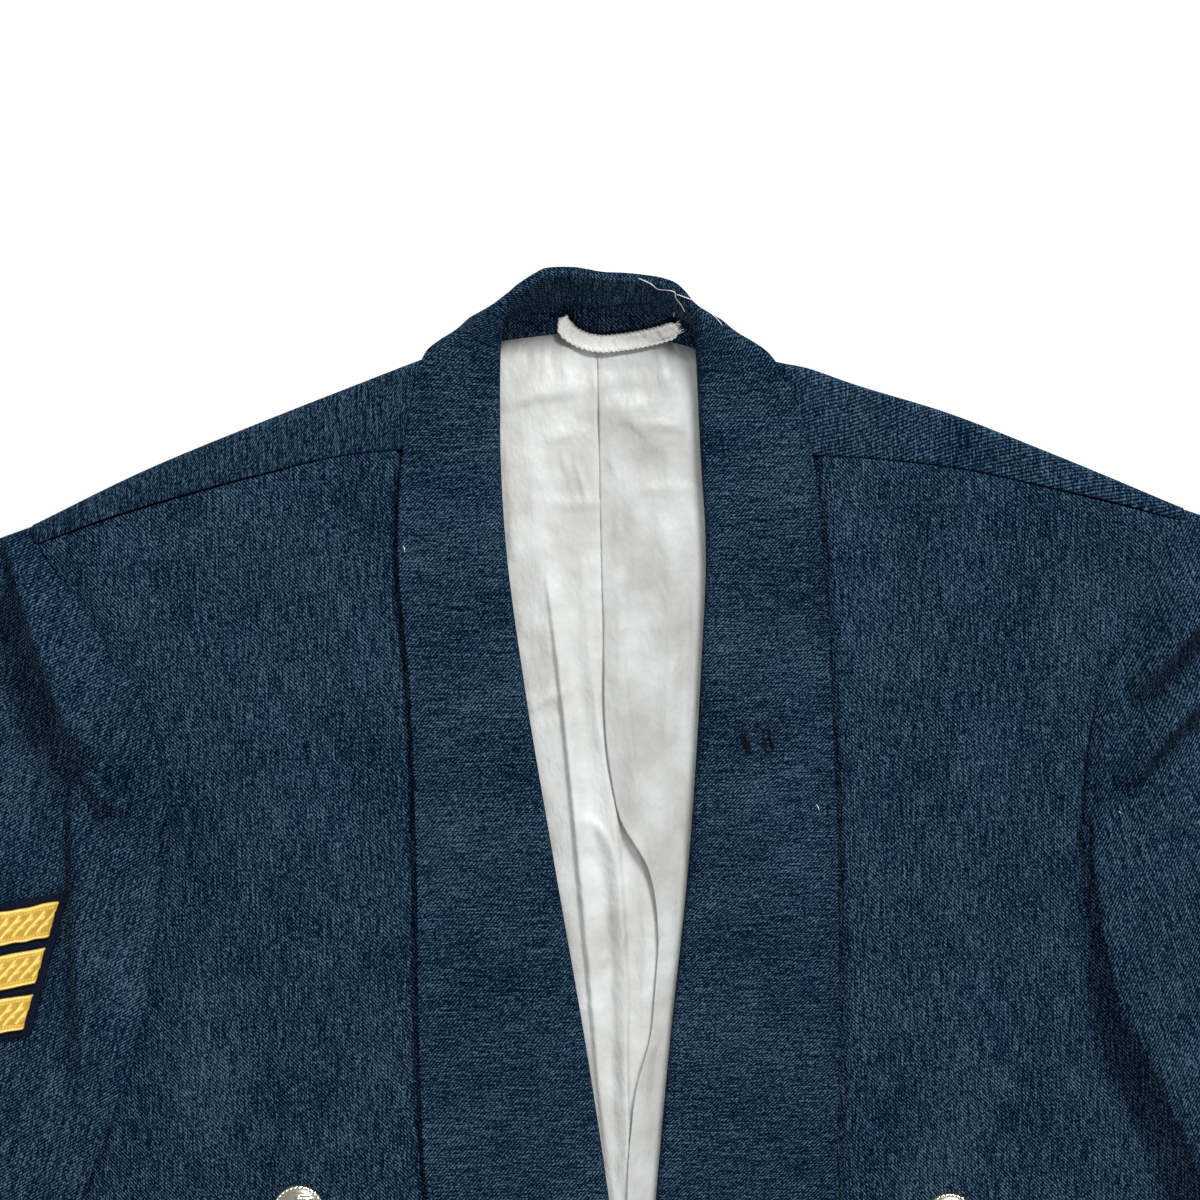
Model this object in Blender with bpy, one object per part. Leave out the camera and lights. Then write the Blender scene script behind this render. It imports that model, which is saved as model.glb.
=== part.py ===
"""A mess jacket that lies flat on its back, front up.

The jacket's own frame, in millimetres: the origin is on the floor under the seam at the centre of the back
neck, +X runs towards the wearer's left, +Y towards the collar and +Z up. "Out" is the distance from the centre
line towards a side. The finished model is in metres, moved so that its origin is the bottom centre of its box.
"""

import math

import bmesh
import bpy
import numpy as np
from mathutils import Matrix, Vector
from mathutils.bvhtree import BVHTree

METRES = 0.001
GAP = 0.3
SEAM_HALF = 0.25
STRIP_LEAST = 1.0

# Walls of the cloth
BACK_WALL = 1.8
FRONT_WALL = 2.0
COLLAR_WALL = 2.0
SLEEVE_WALL = 1.6
FACING_WALL = 1.2
LINING_WALL = 1.0
BADGE_WALL = 1.2
LACE_WALL = 1.4
TAPE_WALL = 1.2

# Heights above the floor
FACING_TOP = BACK_WALL + GAP + FACING_WALL
LINING_TOP = BACK_WALL + GAP + LINING_WALL
PLEAT_TOP = LINING_TOP + GAP + LINING_WALL
TUCK_UNDERSIDE = PLEAT_TOP + GAP
FRONT_FLAT = 6.6
FRONT_RISE = (62.0, 16.0)
FRONT_AT_ROLL = TUCK_UNDERSIDE + COLLAR_WALL + GAP + FRONT_WALL
SHOULDER_PAD = 6.0
PAD_OUT, PAD_Y, PAD_REACH = 200.0, -104.0, 62.0
SIDE_EDGE_TOP = BACK_WALL + GAP + FRONT_WALL
SIDE_CURL = 14.0
SIDE_CURL_BELOW = (-262.0, -284.0)
SLEEVE_LOFT = 6.2
SLEEVE_OVER_FRONT = 1.0
SLEEVE_AIR = 1.4
UNDERARM_EASE = 2.5

# The collar's roll
ROLL_HEIGHT = FRONT_AT_ROLL + GAP + COLLAR_WALL
ROLL_RADIUS = (ROLL_HEIGHT - TUCK_UNDERSIDE) / 2
FRONT_INSIDE_ROLL = 3.4
NECK_EDGE = 46.5
TUCK_DEPTH = 13.0
CREST_HEIGHT = 27.0

RIGHT, LEFT = "right", "left"
SIGN = {RIGHT: -1.0, LEFT: 1.0}

# The shoulders: distance out, y of the fold over the top, y of the seam in front of it
SHOULDER = {
    RIGHT: (
        (46.5, -7.2, -55.6),
        (56.0, -13.0, -55.5),
        (70.0, -18.6, -55.6),
        (84.0, -23.6, -56.1),
        (102.5, -30.3, -57.3),
        (142.7, -45.2, -65.6),
        (185.4, -62.0, -76.6),
        (230.0, -82.6, -90.2),
    ),
    LEFT: (
        (46.5, -12.0, -59.5),
        (54.0, -17.4, -59.8),
        (64.0, -22.4, -60.5),
        (82.0, -26.9, -61.9),
        (98.0, -32.9, -63.0),
        (137.8, -46.2, -67.9),
        (177.5, -62.9, -77.2),
        (230.0, -86.2, -91.0),
    ),
}

# The lapels: y, out to the roll line, out to the outer edge
LAPEL = {
    RIGHT: (
        (-494.0, -1.2, 9.0),
        (-475.0, -1.2, 33.0),
        (-440.0, -0.6, 58.0),
        (-400.0, 1.8, 73.0),
        (-357.0, 5.8, 78.0),
        (-300.0, 13.0, 80.0),
        (-225.0, 24.2, 79.4),
        (-150.0, 35.0, 80.5),
        (-95.0, 41.0, 83.8),
        (-60.0, 42.3, 81.5),
        (-34.0, 41.9, 76.8),
    ),
    LEFT: (
        (-494.0, 5.8, 16.0),
        (-475.0, 5.8, 40.0),
        (-440.0, 6.2, 64.0),
        (-400.0, 9.0, 80.0),
        (-357.0, 13.1, 84.5),
        (-300.0, 19.5, 87.0),
        (-225.0, 29.0, 88.4),
        (-150.0, 35.6, 87.0),
        (-95.0, 38.9, 84.6),
        (-60.0, 37.6, 81.5),
        (-38.0, 37.1, 75.6),
    ),
}

# The collar round the neck, from the right shoulder to the left: x and y of its crest, the way outwards in
# degrees, how far its top runs outwards, and its turn, 0 where it lies on the front and 1 where it stands
NECK = (
    (-41.8, -29.0, 174.5, 33.3, 0.00),
    (-41.5, -21.5, 169.5, 29.5, 0.22),
    (-40.8, -14.0, 163.0, 19.6, 0.42),
    (-39.4, -6.5, 151.0, 12.0, 0.56),
    (-36.6, 1.0, 136.0, 6.6, 0.74),
    (-31.0, 8.0, 114.0, 3.4, 0.92),
    (-21.0, 11.8, 97.0, 3.0, 1.00),
    (0.0, 11.0, 91.0, 3.0, 1.00),
    (18.0, 10.0, 85.0, 3.0, 1.00),
    (28.0, 6.4, 66.0, 3.4, 0.92),
    (33.6, -0.6, 47.0, 6.6, 0.74),
    (35.8, -8.4, 31.0, 12.0, 0.56),
    (36.4, -17.0, 18.0, 18.6, 0.42),
    (36.8, -25.0, 10.4, 28.6, 0.22),
    (37.0, -33.5, 4.8, 35.6, 0.00),
)

# The body's side edge below the armhole: y, out
SIDE = {
    RIGHT: ((-478.0, 261.0), (-430.0, 262.0), (-380.0, 265.0), (-330.0, 268.5), (-284.0, 270.0)),
    LEFT: ((-478.0, 263.0), (-430.0, 264.0), (-380.0, 267.0), (-330.0, 270.5), (-286.0, 272.0)),
}
HEM_AT_SIDE = -478.0

# The armholes from the shoulder down to the underarm: out, y. The front one shows as far as the sleeve's fold
FRONT_ARMHOLE = {
    RIGHT: (
        (228.0, -90.6),
        (212.3, -116.0),
        (199.3, -139.4),
        (190.2, -160.8),
        (184.0, -186.8),
        (181.6, -205.0),
    ),
    LEFT: (
        (228.2, -91.2),
        (218.3, -110.6),
        (210.7, -128.7),
        (202.3, -149.8),
        (196.3, -172.0),
        (190.2, -213.0),
    ),
}
HIDDEN_ARMHOLE = {
    RIGHT: (
        (181.6, -205.0),
        (184.5, -222.0),
        (196.0, -243.0),
        (217.0, -264.0),
        (243.0, -279.0),
        (270.0, -284.0),
    ),
    LEFT: (
        (190.2, -213.0),
        (193.0, -230.0),
        (204.0, -249.0),
        (224.0, -267.0),
        (248.0, -281.0),
        (272.0, -286.0),
    ),
}
BACK_ARMHOLE = {
    RIGHT: (
        (230.0, -88.3),
        (219.0, -122.0),
        (213.0, -165.0),
        (216.0, -210.0),
        (233.0, -252.0),
        (270.0, -284.0),
    ),
    LEFT: (
        (230.0, -91.9),
        (220.0, -126.0),
        (214.0, -168.0),
        (217.0, -212.0),
        (235.0, -254.0),
        (272.0, -286.0),
    ),
}
BACK_CORNER_OUT = 229.4

# How far the strip over the shoulder is drawn in at the armhole, and where that starts and ends
ARMHOLE_SLANT = 2.2
SLANT_OUT = (200.0, 230.0)

# Rows up the back, as shares of its height
BACK_ROWS = (0, 0.22, 0.42, 0.48, 0.53, 0.58, 0.64, 0.71, 0.79, 0.87, 0.94, 1)

# The sleeves' sections, from the armhole to the cuff: out and y of the outer fold, then of the inner fold
SLEEVE = {
    RIGHT: (
        (230.6, -83.2, 181.6, -205.0),
        (262.0, -94.5, 181.4, -218.0),
        (300.0, -112.5, 182.3, -236.0),
        (340.0, -146.0, 185.5, -256.0),
        (368.0, -195.0, 190.0, -284.0),
        (383.0, -243.0, 197.0, -309.0),
        (394.0, -290.0, 208.5, -336.0),
        (404.0, -340.0, 221.0, -368.0),
        (411.0, -395.0, 234.0, -412.0),
        (413.0, -450.0, 244.0, -458.0),
        (410.0, -510.0, 249.5, -515.0),
        (404.0, -580.0, 252.0, -590.0),
        (398.0, -646.0, 255.0, -661.0),
    ),
    LEFT: (
        (230.6, -86.8, 190.2, -213.0),
        (262.0, -98.5, 189.6, -226.0),
        (300.0, -117.0, 191.5, -246.0),
        (340.0, -151.0, 194.6, -268.0),
        (370.0, -200.0, 199.0, -287.0),
        (386.0, -247.0, 208.0, -303.0),
        (398.0, -293.0, 217.5, -326.0),
        (409.0, -343.0, 229.5, -360.0),
        (417.0, -398.0, 242.5, -404.0),
        (420.0, -452.0, 252.0, -450.0),
        (418.0, -512.0, 258.5, -512.0),
        (413.0, -580.0, 262.0, -586.0),
        (408.0, -641.0, 266.0, -656.0),
    ),
}
STRAIGHT_FROM = 6
SLEEVE_RINGS = (0, 0.12, 0.3, 0.52, 0.8, 1.15, 1.6, 2.1, 2.7, 3.4, 4.2, 5, 6, 7, 8, 9, 9.5, 10, 11, 12)

# Points across a sleeve from its outer fold to its inner one, above and below
OVER_SLEEVE = (
    *(0, 0.008, 0.03, 0.09, 0.17, 0.26, 0.35, 0.44, 0.53, 0.62),
    *(0.7, 0.77, 0.83, 0.88, 0.92, 0.955, 0.98, 0.994, 1),
)
UNDER_SLEEVE = (0, 0.008, 0.03, 0.14, 0.28, 0.4, 0.47, 0.54, 0.62, 0.71, 0.82, 0.93, 0.985, 1)
UNDERARM_AT = 0.54
FOLD_SHARE = 0.03

# The largest folds of the sleeves: out and y at the start, the middle and the end, half width, height
SLEEVE_FOLDS = {
    RIGHT: (
        (238.0, -100.0, 219.0, -150.0, 194.0, -190.0, 11.0, 8.5),
        (216.0, -168.0, 206.0, -196.0, 186.0, -202.0, 7.0, -4.5),
        (214.0, -186.0, 213.0, -236.0, 213.0, -300.0, 11.0, 4.0),
        (262.0, -120.0, 238.0, -160.0, 233.0, -215.0, 13.0, -2.5),
        (330.0, -160.0, 322.0, -260.0, 330.0, -350.0, 24.0, 5.0),
        (395.0, -380.0, 350.0, -395.0, 300.0, -382.0, 10.0, 3.5),
        (392.0, -425.0, 345.0, -432.0, 290.0, -408.0, 9.0, 3.0),
        (330.0, -470.0, 325.0, -550.0, 320.0, -640.0, 20.0, 2.5),
    ),
    LEFT: (
        (236.0, -108.0, 222.0, -140.0, 207.0, -172.0, 10.0, 5.0),
        (252.0, -125.0, 226.0, -142.0, 205.0, -158.0, 7.0, 4.5),
        (250.0, -141.0, 228.0, -155.0, 209.0, -168.0, 6.0, -5.0),
        (254.0, -152.0, 224.0, -172.0, 203.0, -198.0, 8.0, 5.5),
        (256.0, -190.0, 238.0, -230.0, 236.0, -290.0, 14.0, 2.0),
        (330.0, -165.0, 325.0, -262.0, 334.0, -350.0, 24.0, 5.0),
        (398.0, -385.0, 352.0, -398.0, 306.0, -380.0, 10.0, 3.5),
        (396.0, -432.0, 350.0, -436.0, 300.0, -410.0, 9.0, 3.0),
        (338.0, -470.0, 335.0, -550.0, 334.0, -640.0, 20.0, 2.5),
    ),
}

# Hems: out, y of the front's, y of the back's
HEM = (
    (0.0, -503.0, -514.0),
    (60.0, -500.0, -508.0),
    (130.0, -492.0, -497.0),
    (200.0, -484.0, -487.0),
    (265.0, HEM_AT_SIDE, HEM_AT_SIDE),
)
FRONT_POINT = -502.0

# The back neck: x, y of the seam; and x, y of the lower edge of the facing
NECKLINE = (
    (-46.5, -11.7),
    (-38.0, -7.0),
    (-30.0, -2.8),
    (-20.0, -0.9),
    (0.0, -0.7),
    (18.0, -0.9),
    (27.0, -4.0),
    (36.0, -9.5),
    (46.5, -16.5),
)
FACING_EDGE = ((-44.0, -13.2), (-25.5, -11.2), (-19.0, -10.6), (0.0, -11.6), (27.3, -15.0), (42.0, -19.5))

# The lining's centre: y, x of the seam or the pleat's open edge
PLEAT = (
    (-440.0, 3.0),
    (-334.0, 3.2),
    (-314.0, 6.1),
    (-294.0, 12.1),
    (-274.0, 14.6),
    (-250.0, 16.3),
    (-226.0, 12.9),
    (-206.0, 2.1),
    (-190.0, -1.1),
    (-120.0, -2.9),
    (-16.0, -2.8),
)
PLEAT_ENDS = (-190.0, -160.0)
LINING_COLUMNS = (0, 0.12, 0.28, 0.45, 0.62, 0.8, 1)
LINING_BOTTOM = -440.0
PLEAT_UNDERLAP = 10.0
LINING_PAST_ROLL = 15.0
LINING_DRAWN_IN = 11.0

# The badge on the right sleeve: its point, the way down the sleeve, and its bars
BADGE_POINT = (-263.0, -243.0)
BADGE_TURN = math.radians(-15.0)
BAR_SLOPE = math.radians(30.0)
BAR_PITCH = 18.9
BAR_WIDTH = 12.9
BADGE_HALF_WIDTH = 40.0
BADGE_MARGIN = 3.2
BARS = 3

# The buttons: the top one's out and y, then the step to the next
BUTTON_RADIUS = 11.2
BUTTON_HEIGHT = 6.5
BUTTON_TOP = {RIGHT: (129.8, -359.5), LEFT: (130.1, -368.6)}
BUTTON_STEP = (-6.0, -47.0)
BUTTONS_A_SIDE = 3
BUTTON_PROFILE = (
    (0.0, 0.0),
    (0.86, 0.0),
    (1.0, 0.16),
    (0.97, 0.38),
    (0.84, 0.46),
    (0.78, 0.4),
    (0.6, 0.72),
    (0.32, 0.93),
    (0.0, 1.0),
)
BUTTON_SEGMENTS = 18

# The hanger's tape along its middle line: x, y, height above what lies under it
HANGER = (
    (-16.1, -4.4, 1.6),
    (-15.2, -8.6, 0.9),
    (-9.5, -13.0, 0.5),
    (-1.5, -15.2, 0.5),
    (6.5, -14.8, 0.5),
    (18.5, -13.0, 0.6),
    (25.2, -11.4, 1.0),
    (29.4, -10.0, 1.8),
)
TAPE_WIDTH = 7.0

# The thread loops on the left lapel: x, y of the middle, length, bow to the side
MEDAL_LOOPS = ((53.0, -175.8, 9.0, 1.2), (61.8, -175.6, 9.4, 0.9))
THREAD_RADIUS = 1.1
THREAD_CLEAR = 0.4


def spline(rows, at):
    """Columns 1 onwards of the rows at each value of column 0, on a smooth curve through the rows."""
    rows = np.array(rows, float)
    rows = rows[np.argsort(rows[:, 0])]
    keys, values = rows[:, 0], rows[:, 1:]
    at = np.clip(np.asarray(at, float), keys[0], keys[-1])
    slopes = np.gradient(values, keys, axis=0)
    low = np.clip(np.searchsorted(keys, at, side="right") - 1, 0, len(keys) - 2)
    step = (keys[low + 1] - keys[low])[..., None]
    f = (at - keys[low])[..., None] / step
    h01 = f * f * (3 - 2 * f)
    return (
        (1 - h01) * values[low]
        + h01 * values[low + 1]
        + f * (1 - f) ** 2 * step * slopes[low]
        - f * f * (1 - f) * step * slopes[low + 1]
    )


def along(points, at):
    """Points at shares 0 to 1 of the way along a smooth curve through the given points."""
    points = np.array(points, float)
    steps = np.linalg.norm(np.diff(points[:, :2], axis=0), axis=1)
    way = np.concatenate([[0], np.cumsum(steps)]) / steps.sum()
    return spline(np.column_stack([way, points]), at)


def ease(value, start, end):
    """0 before start and 1 after end, with a soft turn at both."""
    f = np.clip((np.asarray(value, float) - start) / (end - start), 0, 1)
    return f * f * (3 - 2 * f)


def outward(side, x):
    return SIGN[side] * np.asarray(x, float)


def side_of(x):
    return LEFT if x > 0 else RIGHT


def front_top(side, x, y):
    """Height of a front's upper face, which rises to the roll line and over the shoulder pad."""
    out = outward(side, x)
    roll = spline(LAPEL[side], y)[..., 0]
    at_roll = ease(roll - out, -FRONT_RISE[0], -FRONT_RISE[1])
    pad = np.exp(-(((out - PAD_OUT) / PAD_REACH) ** 2) - ((np.asarray(y) - PAD_Y) / PAD_REACH) ** 2)
    return FRONT_FLAT + (FRONT_AT_ROLL - FRONT_FLAT) * at_roll + SHOULDER_PAD * pad


def shoulder_height(side, out):
    seam = spline(SHOULDER[side], out)[..., 1]
    return front_top(side, SIGN[side] * np.asarray(out, float), seam)


def patch(bottom, top, start, end, v):
    """A grid between four edges: bottom and top run across, start and end run up, and v is how far up."""
    u = np.linspace(0, 1, len(bottom))[None, :, None]
    v = np.asarray(v, float)[:, None, None]
    ruled = (1 - v) * bottom[None] + v * top[None] + (1 - u) * start[:, None] + u * end[:, None]
    corners = (1 - v) * ((1 - u) * bottom[0] + u * bottom[-1]) + v * ((1 - u) * top[0] + u * top[-1])
    return ruled - corners


def material(name, colour, roughness, metallic=0.0):
    made = bpy.data.materials.new(name)
    made.use_nodes = True
    shader = made.node_tree.nodes["Principled BSDF"]
    shader.inputs["Base Color"].default_value = (*colour, 1.0)
    shader.inputs["Roughness"].default_value = roughness
    shader.inputs["Metallic"].default_value = metallic
    return made


def sheet(name, grids, wall, finish, around=False, flipped=False):
    """A wall of cloth under the grids' points, each rows by columns by x, y, z, joined where they meet."""
    bm = bmesh.new()
    for grid in grids:
        rows, columns = grid.shape[:2]
        points = [[bm.verts.new(Vector(point) * METRES) for point in row] for row in grid]
        for i in range(rows - 1):
            for j in range(columns if around else columns - 1):
                k = (j + 1) % columns
                corners = (points[i][j], points[i][k], points[i + 1][k], points[i + 1][j])
                bm.faces.new(corners[::-1] if flipped else corners)
    bmesh.ops.remove_doubles(bm, verts=bm.verts, dist=0.01 * METRES)
    made = add(name, bm, finish)
    solid = made.modifiers.new("Wall", "SOLIDIFY")
    solid.thickness = wall * METRES
    solid.offset = -1.0
    return made


def add(name, bm, finish):
    mesh = bpy.data.meshes.new(name)
    bm.to_mesh(mesh)
    bm.free()
    mesh.shade_smooth()
    mesh.materials.append(finish)
    made = bpy.data.objects.new(name, mesh)
    bpy.context.scene.collection.objects.link(made)
    return made


def surface_of(grid, around=False):
    """A grid as a tree that tells its height at any x, y."""
    rows, columns = grid.shape[:2]
    faces = []
    for i in range(rows - 1):
        for j in range(columns if around else columns - 1):
            k = (j + 1) % columns
            a, b, c, d = i * columns + j, i * columns + k, (i + 1) * columns + k, (i + 1) * columns + j
            faces += [(a, b, c), (a, c, d)]
    return BVHTree.FromPolygons([tuple(p) for p in grid.reshape(-1, 3)], faces)


def height_on(tree, x, y, otherwise=0.0):
    hit = tree.ray_cast(Vector((x, y, 100.0)), Vector((0, 0, -1)))[0]
    return hit.z if hit else otherwise


def height_near(tree, x, y, reach=4.0):
    """The greatest height on and close round a place, so that what lies there is clear of folds."""
    steps = (-reach, 0.0, reach)
    return max(height_on(tree, x + dx, y + dy) for dx in steps for dy in steps)


def back_panel(wool):
    """One panel flat on the floor, with a strip each side that wraps over the shoulder to its seam."""
    shoulder_out = np.array([BACK_CORNER_OUT, 210, 188, 165, 142, 119, 100, 84, 70, 57, NECK_EDGE])
    neck_x = np.array([-38, -30, -20, -7, 7, 20, 28, 36.5])
    top = []
    for out in shoulder_out:
        top.append((-out, flat_end(RIGHT, out)))
    for x, (y,) in zip(neck_x, spline(NECKLINE, neck_x)):
        top.append((x, y))
    for out in shoulder_out[::-1]:
        top.append((out, flat_end(LEFT, out)))
    top = np.array(top)
    count = len(top)
    bottom_x = np.linspace(-SIDE[RIGHT][0][1], SIDE[LEFT][0][1], count)
    bottom = np.column_stack([bottom_x, spline(HEM, np.abs(bottom_x))[:, 1]])
    v = np.array(BACK_ROWS)
    edges = {}
    for side in (RIGHT, LEFT):
        edge = side_points(side) + list(BACK_ARMHOLE[side][-2::-1])
        edge[-1] = (BACK_CORNER_OUT, flat_end(side, BACK_CORNER_OUT))
        edges[side] = along(edge, v) * (SIGN[side], 1)
    plan = patch(bottom, top, edges[RIGHT], edges[LEFT], v)
    flat = np.concatenate([plan, np.zeros(plan.shape[:2] + (1,))], axis=2)
    grids = [flat]
    for side in (RIGHT, LEFT):
        columns = range(len(shoulder_out)) if side == RIGHT else range(count - len(shoulder_out), count)
        strip = []
        for j in columns:
            strip.append(shoulder_wrap(side, flat[-1, j]))
        grids.append(np.array(strip).transpose(1, 0, 2))
    return sheet("back", grids, BACK_WALL, wool, flipped=True)


def side_points(side):
    return [(out, y) for y, out in SIDE[side]]


def fold_reach(side, out):
    """How far in y the round fold over the shoulder reaches, never as far as the seam."""
    fold, seam = spline(SHOULDER[side], out)
    return min(float(shoulder_height(side, out)) / 2, fold - seam - STRIP_LEAST)


def flat_end(side, out):
    """Where the back leaves the floor to wrap over the shoulder."""
    return float(spline(SHOULDER[side], out)[0]) - fold_reach(side, out)


def shoulder_wrap(side, start):
    """Points from the floor over the fold and down the strip to the shoulder seam, at one x."""
    x = start[0]
    fold, seam = spline(SHOULDER[side], abs(x))
    radius = shoulder_height(side, abs(x)) / 2
    reach = fold_reach(side, abs(x))
    slant = SIGN[side] * ARMHOLE_SLANT * ease(abs(x), *SLANT_OUT)
    points = [start]
    for angle in np.radians((35, 70, 110, 145, 180)):
        drawn_in = slant * max(0.0, -math.cos(angle))
        y = fold - reach + reach * math.sin(angle)
        points.append((x - drawn_in, y, radius - radius * math.cos(angle)))
    level = fold - reach
    for share in (0.5, 1.0):
        y = level * (1 - share) + (seam + SEAM_HALF) * share
        points.append((x - slant, y, float(front_top(side, x, seam))))
    return points


def front_grid(side):
    """The upper face of a front, between the roll line, the shoulder seam, the armhole and side, and hem."""
    rows, columns = 25, 13
    v = np.linspace(0, 1, rows)
    inner_y = np.linspace(FRONT_POINT, float(spline(SHOULDER[side], NECK_EDGE)[1]) - SEAM_HALF, rows)
    inner = np.column_stack([spline(LAPEL[side], inner_y)[:, 0] + FRONT_INSIDE_ROLL, inner_y])
    armhole = list(HIDDEN_ARMHOLE[side][-2::-1]) + list(FRONT_ARMHOLE[side][-2::-1])
    outer = along(side_points(side) + armhole, v)
    outer[:, 0] -= SEAM_HALF
    u = np.linspace(0, 1, columns)
    bottom_out = inner[0, 0] + (outer[0, 0] - inner[0, 0]) * u
    bottom = np.column_stack([bottom_out, spline(HEM, bottom_out)[:, 0]])
    bottom += (inner[0] - bottom[0]) * (1 - u)[:, None] + (outer[0] - bottom[-1]) * u[:, None]
    top_out = inner[-1, 0] + (outer[-1, 0] - inner[-1, 0]) * u
    top = np.column_stack([top_out, spline(SHOULDER[side], top_out)[:, 1] - SEAM_HALF])
    top += (inner[-1] - top[0]) * (1 - u)[:, None] + (outer[-1] - top[-1]) * u[:, None]
    plan = patch(bottom, top, inner, outer, v)
    plan[..., 0] *= SIGN[side]
    z = front_top(side, plan[..., 0], plan[..., 1])
    side_out = spline(SIDE[side], plan[..., 1])[..., 0]
    below = ease(plan[..., 1], *SIDE_CURL_BELOW)
    curl = ease(outward(side, plan[..., 0]), side_out - SIDE_CURL, side_out) * below
    z = z * (1 - curl) + SIDE_EDGE_TOP * curl
    return np.concatenate([plan, z[..., None]], axis=2)


def lapel_section(side, x, y, way, lay):
    """The collar's outer surface where it lies on the front: distance outwards and height of each point."""
    points = [(TUCK_DEPTH, TUCK_UNDERSIDE), (ROLL_RADIUS, TUCK_UNDERSIDE)]
    for a in np.radians((-45, 0, 45)):
        points.append((ROLL_RADIUS * (1 - math.cos(a)), TUCK_UNDERSIDE + ROLL_RADIUS * (1 + math.sin(a))))
    points.append((ROLL_RADIUS, ROLL_HEIGHT))
    for share in (0.16, 0.36, 0.56, 0.76, 0.92, 1.0):
        o = ROLL_RADIUS + (lay - ROLL_RADIUS) * share
        at_x, at_y = x + way[0] * o, y + way[1] * o
        points.append((o, float(front_top(side, at_x, at_y)) + GAP + COLLAR_WALL))
    return np.array(points)


def over_section(lay):
    """The collar where it passes over the shoulder: up from its tuck, over, and down to the floor."""
    up = [(3.0, 4.8), (1.2, 6.6), (0.3, 9.4), (0.0, 12.4), (0.6, 15.4), (2.4, 17.6)]
    down = [(0.34, 18.2), (0.66, 17.0), (0.86, 13.8), (0.97, 9.4), (1.0, 4.6), (1.0, 0.0)]
    return np.array(up + [(2.4 + (lay - 2.4) * o, z) for o, z in down])


def standing_section():
    """The collar at the back neck: the stand up to its crest, and the fall behind it down to the floor."""
    return np.array(
        [(-11.0, 2.6), (-9.8, 5.4), (-7.8, 9.6), (-5.6, 15.0), (-3.2, 21.0), (-0.8, 25.8)]
        + [(1.0, CREST_HEIGHT), (2.6, 25.2), (3.0, 20.0), (2.4, 12.0), (0.8, 5.4), (-1.6, 0.0)]
    )


def collar_station(side, x, y, degrees, lay, turn):
    way = np.array([math.cos(math.radians(degrees)), math.sin(math.radians(degrees))])
    over = over_section(max(lay, 5.0))
    if turn <= 0.5:
        share = (turn / 0.5) ** 2
        section = lapel_section(side, x, y, way, lay) * (1 - share) + over * share
    else:
        share = (turn - 0.5) / 0.5
        section = over * (1 - share) + standing_section() * share
    return [(x + way[0] * o, y + way[1] * o, z) for o, z in section]


def collar_grid():
    """Stations from the right front's hem round the neck to the left front's hem."""
    stations = []
    lapel_y = {}
    for side in (RIGHT, LEFT):
        low, high = np.linspace(LAPEL[side][0][0], -400, 6), np.linspace(-370, -70, 10)
        lapel_y[side] = np.concatenate([low, high, (-50,)])
    for y in lapel_y[RIGHT]:
        roll, edge = spline(LAPEL[RIGHT], y)
        stations.append(collar_station(RIGHT, -roll, y, 180.0, edge - roll, 0.0))
    for x, y, degrees, lay, turn in neck_rows():
        stations.append(collar_station(side_of(x), x, y, degrees, lay, turn))
    for y in lapel_y[LEFT][::-1]:
        roll, edge = spline(LAPEL[LEFT], y)
        stations.append(collar_station(LEFT, roll, y, 0.0, edge - roll, 0.0))
    return np.array(stations)


def neck_rows():
    """The neck's rows, with one more between each two."""
    rows = np.array(NECK)
    count = 2 * len(rows) - 1
    return along(rows, np.interp(np.arange(count), np.arange(0, count, 2), station_shares(rows)))


def station_shares(rows):
    steps = np.linalg.norm(np.diff(rows[:, :2], axis=0), axis=1)
    return np.concatenate([[0], np.cumsum(steps)]) / steps.sum()


def facing(wool):
    """The strip inside the back neck, on the back and above the lining."""
    x = np.linspace(-43, 41, 17)
    upper = spline(NECKLINE, x)[:, 0] - 3 * GAP
    lower = spline(FACING_EDGE, x)[:, 0] + GAP / 2
    upper = np.maximum(upper, lower + 1.0)
    grid = []
    for share in np.linspace(0, 1, 4):
        y = lower * (1 - share) + upper * share
        grid.append(np.column_stack([x, y, np.full(len(x), FACING_TOP)]))
    return sheet("back_neck_facing", [np.array(grid)], FACING_WALL, wool)


def lining(side, satin):
    """One half of the back lining as far as it shows. The left half laps over the right one at the pleat."""
    pleat_y = np.linspace(-320, -160, 11)
    y = np.concatenate([np.linspace(LINING_BOTTOM, -340, 4), pleat_y, np.linspace(-130, -24, 4)])
    rows = len(y) + 1
    top_row = rows - 1
    shares = np.array(LINING_COLUMNS)
    grid = np.zeros((rows, len(shares), 3))
    for i in range(rows):
        at_y = y[min(i, len(y) - 1)]
        centre = float(spline(PLEAT, at_y)[0])
        past = LINING_PAST_ROLL - LINING_DRAWN_IN * float(ease(at_y, -60, -20))
        roll = float(spline(LAPEL[side], at_y)[0]) + past
        near = centre + GAP / 2
        if side == RIGHT:
            near = centre - GAP / 2 + (PLEAT_UNDERLAP + GAP) * float(1 - ease(at_y, *PLEAT_ENDS))
        far = SIGN[side] * roll
        x = near + (far - near) * shares
        level = np.full(len(x), LINING_TOP)
        if side == LEFT:
            lap = 1 - ease(x - centre, PLEAT_UNDERLAP + 3, PLEAT_UNDERLAP + 13)
            lap *= 1 - ease(at_y, PLEAT_ENDS[1] + 4, PLEAT_ENDS[1] + 28)
            level = level + (PLEAT_TOP - LINING_TOP) * lap
        if i == top_row:
            at = spline(FACING_EDGE, x)[:, 0] - GAP / 2
        else:
            at = np.full(len(x), at_y)
        grid[i] = np.column_stack([x, at, level])
    return sheet(f"lining_{side}", [grid], LINING_WALL, satin, flipped=side == RIGHT)


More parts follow.
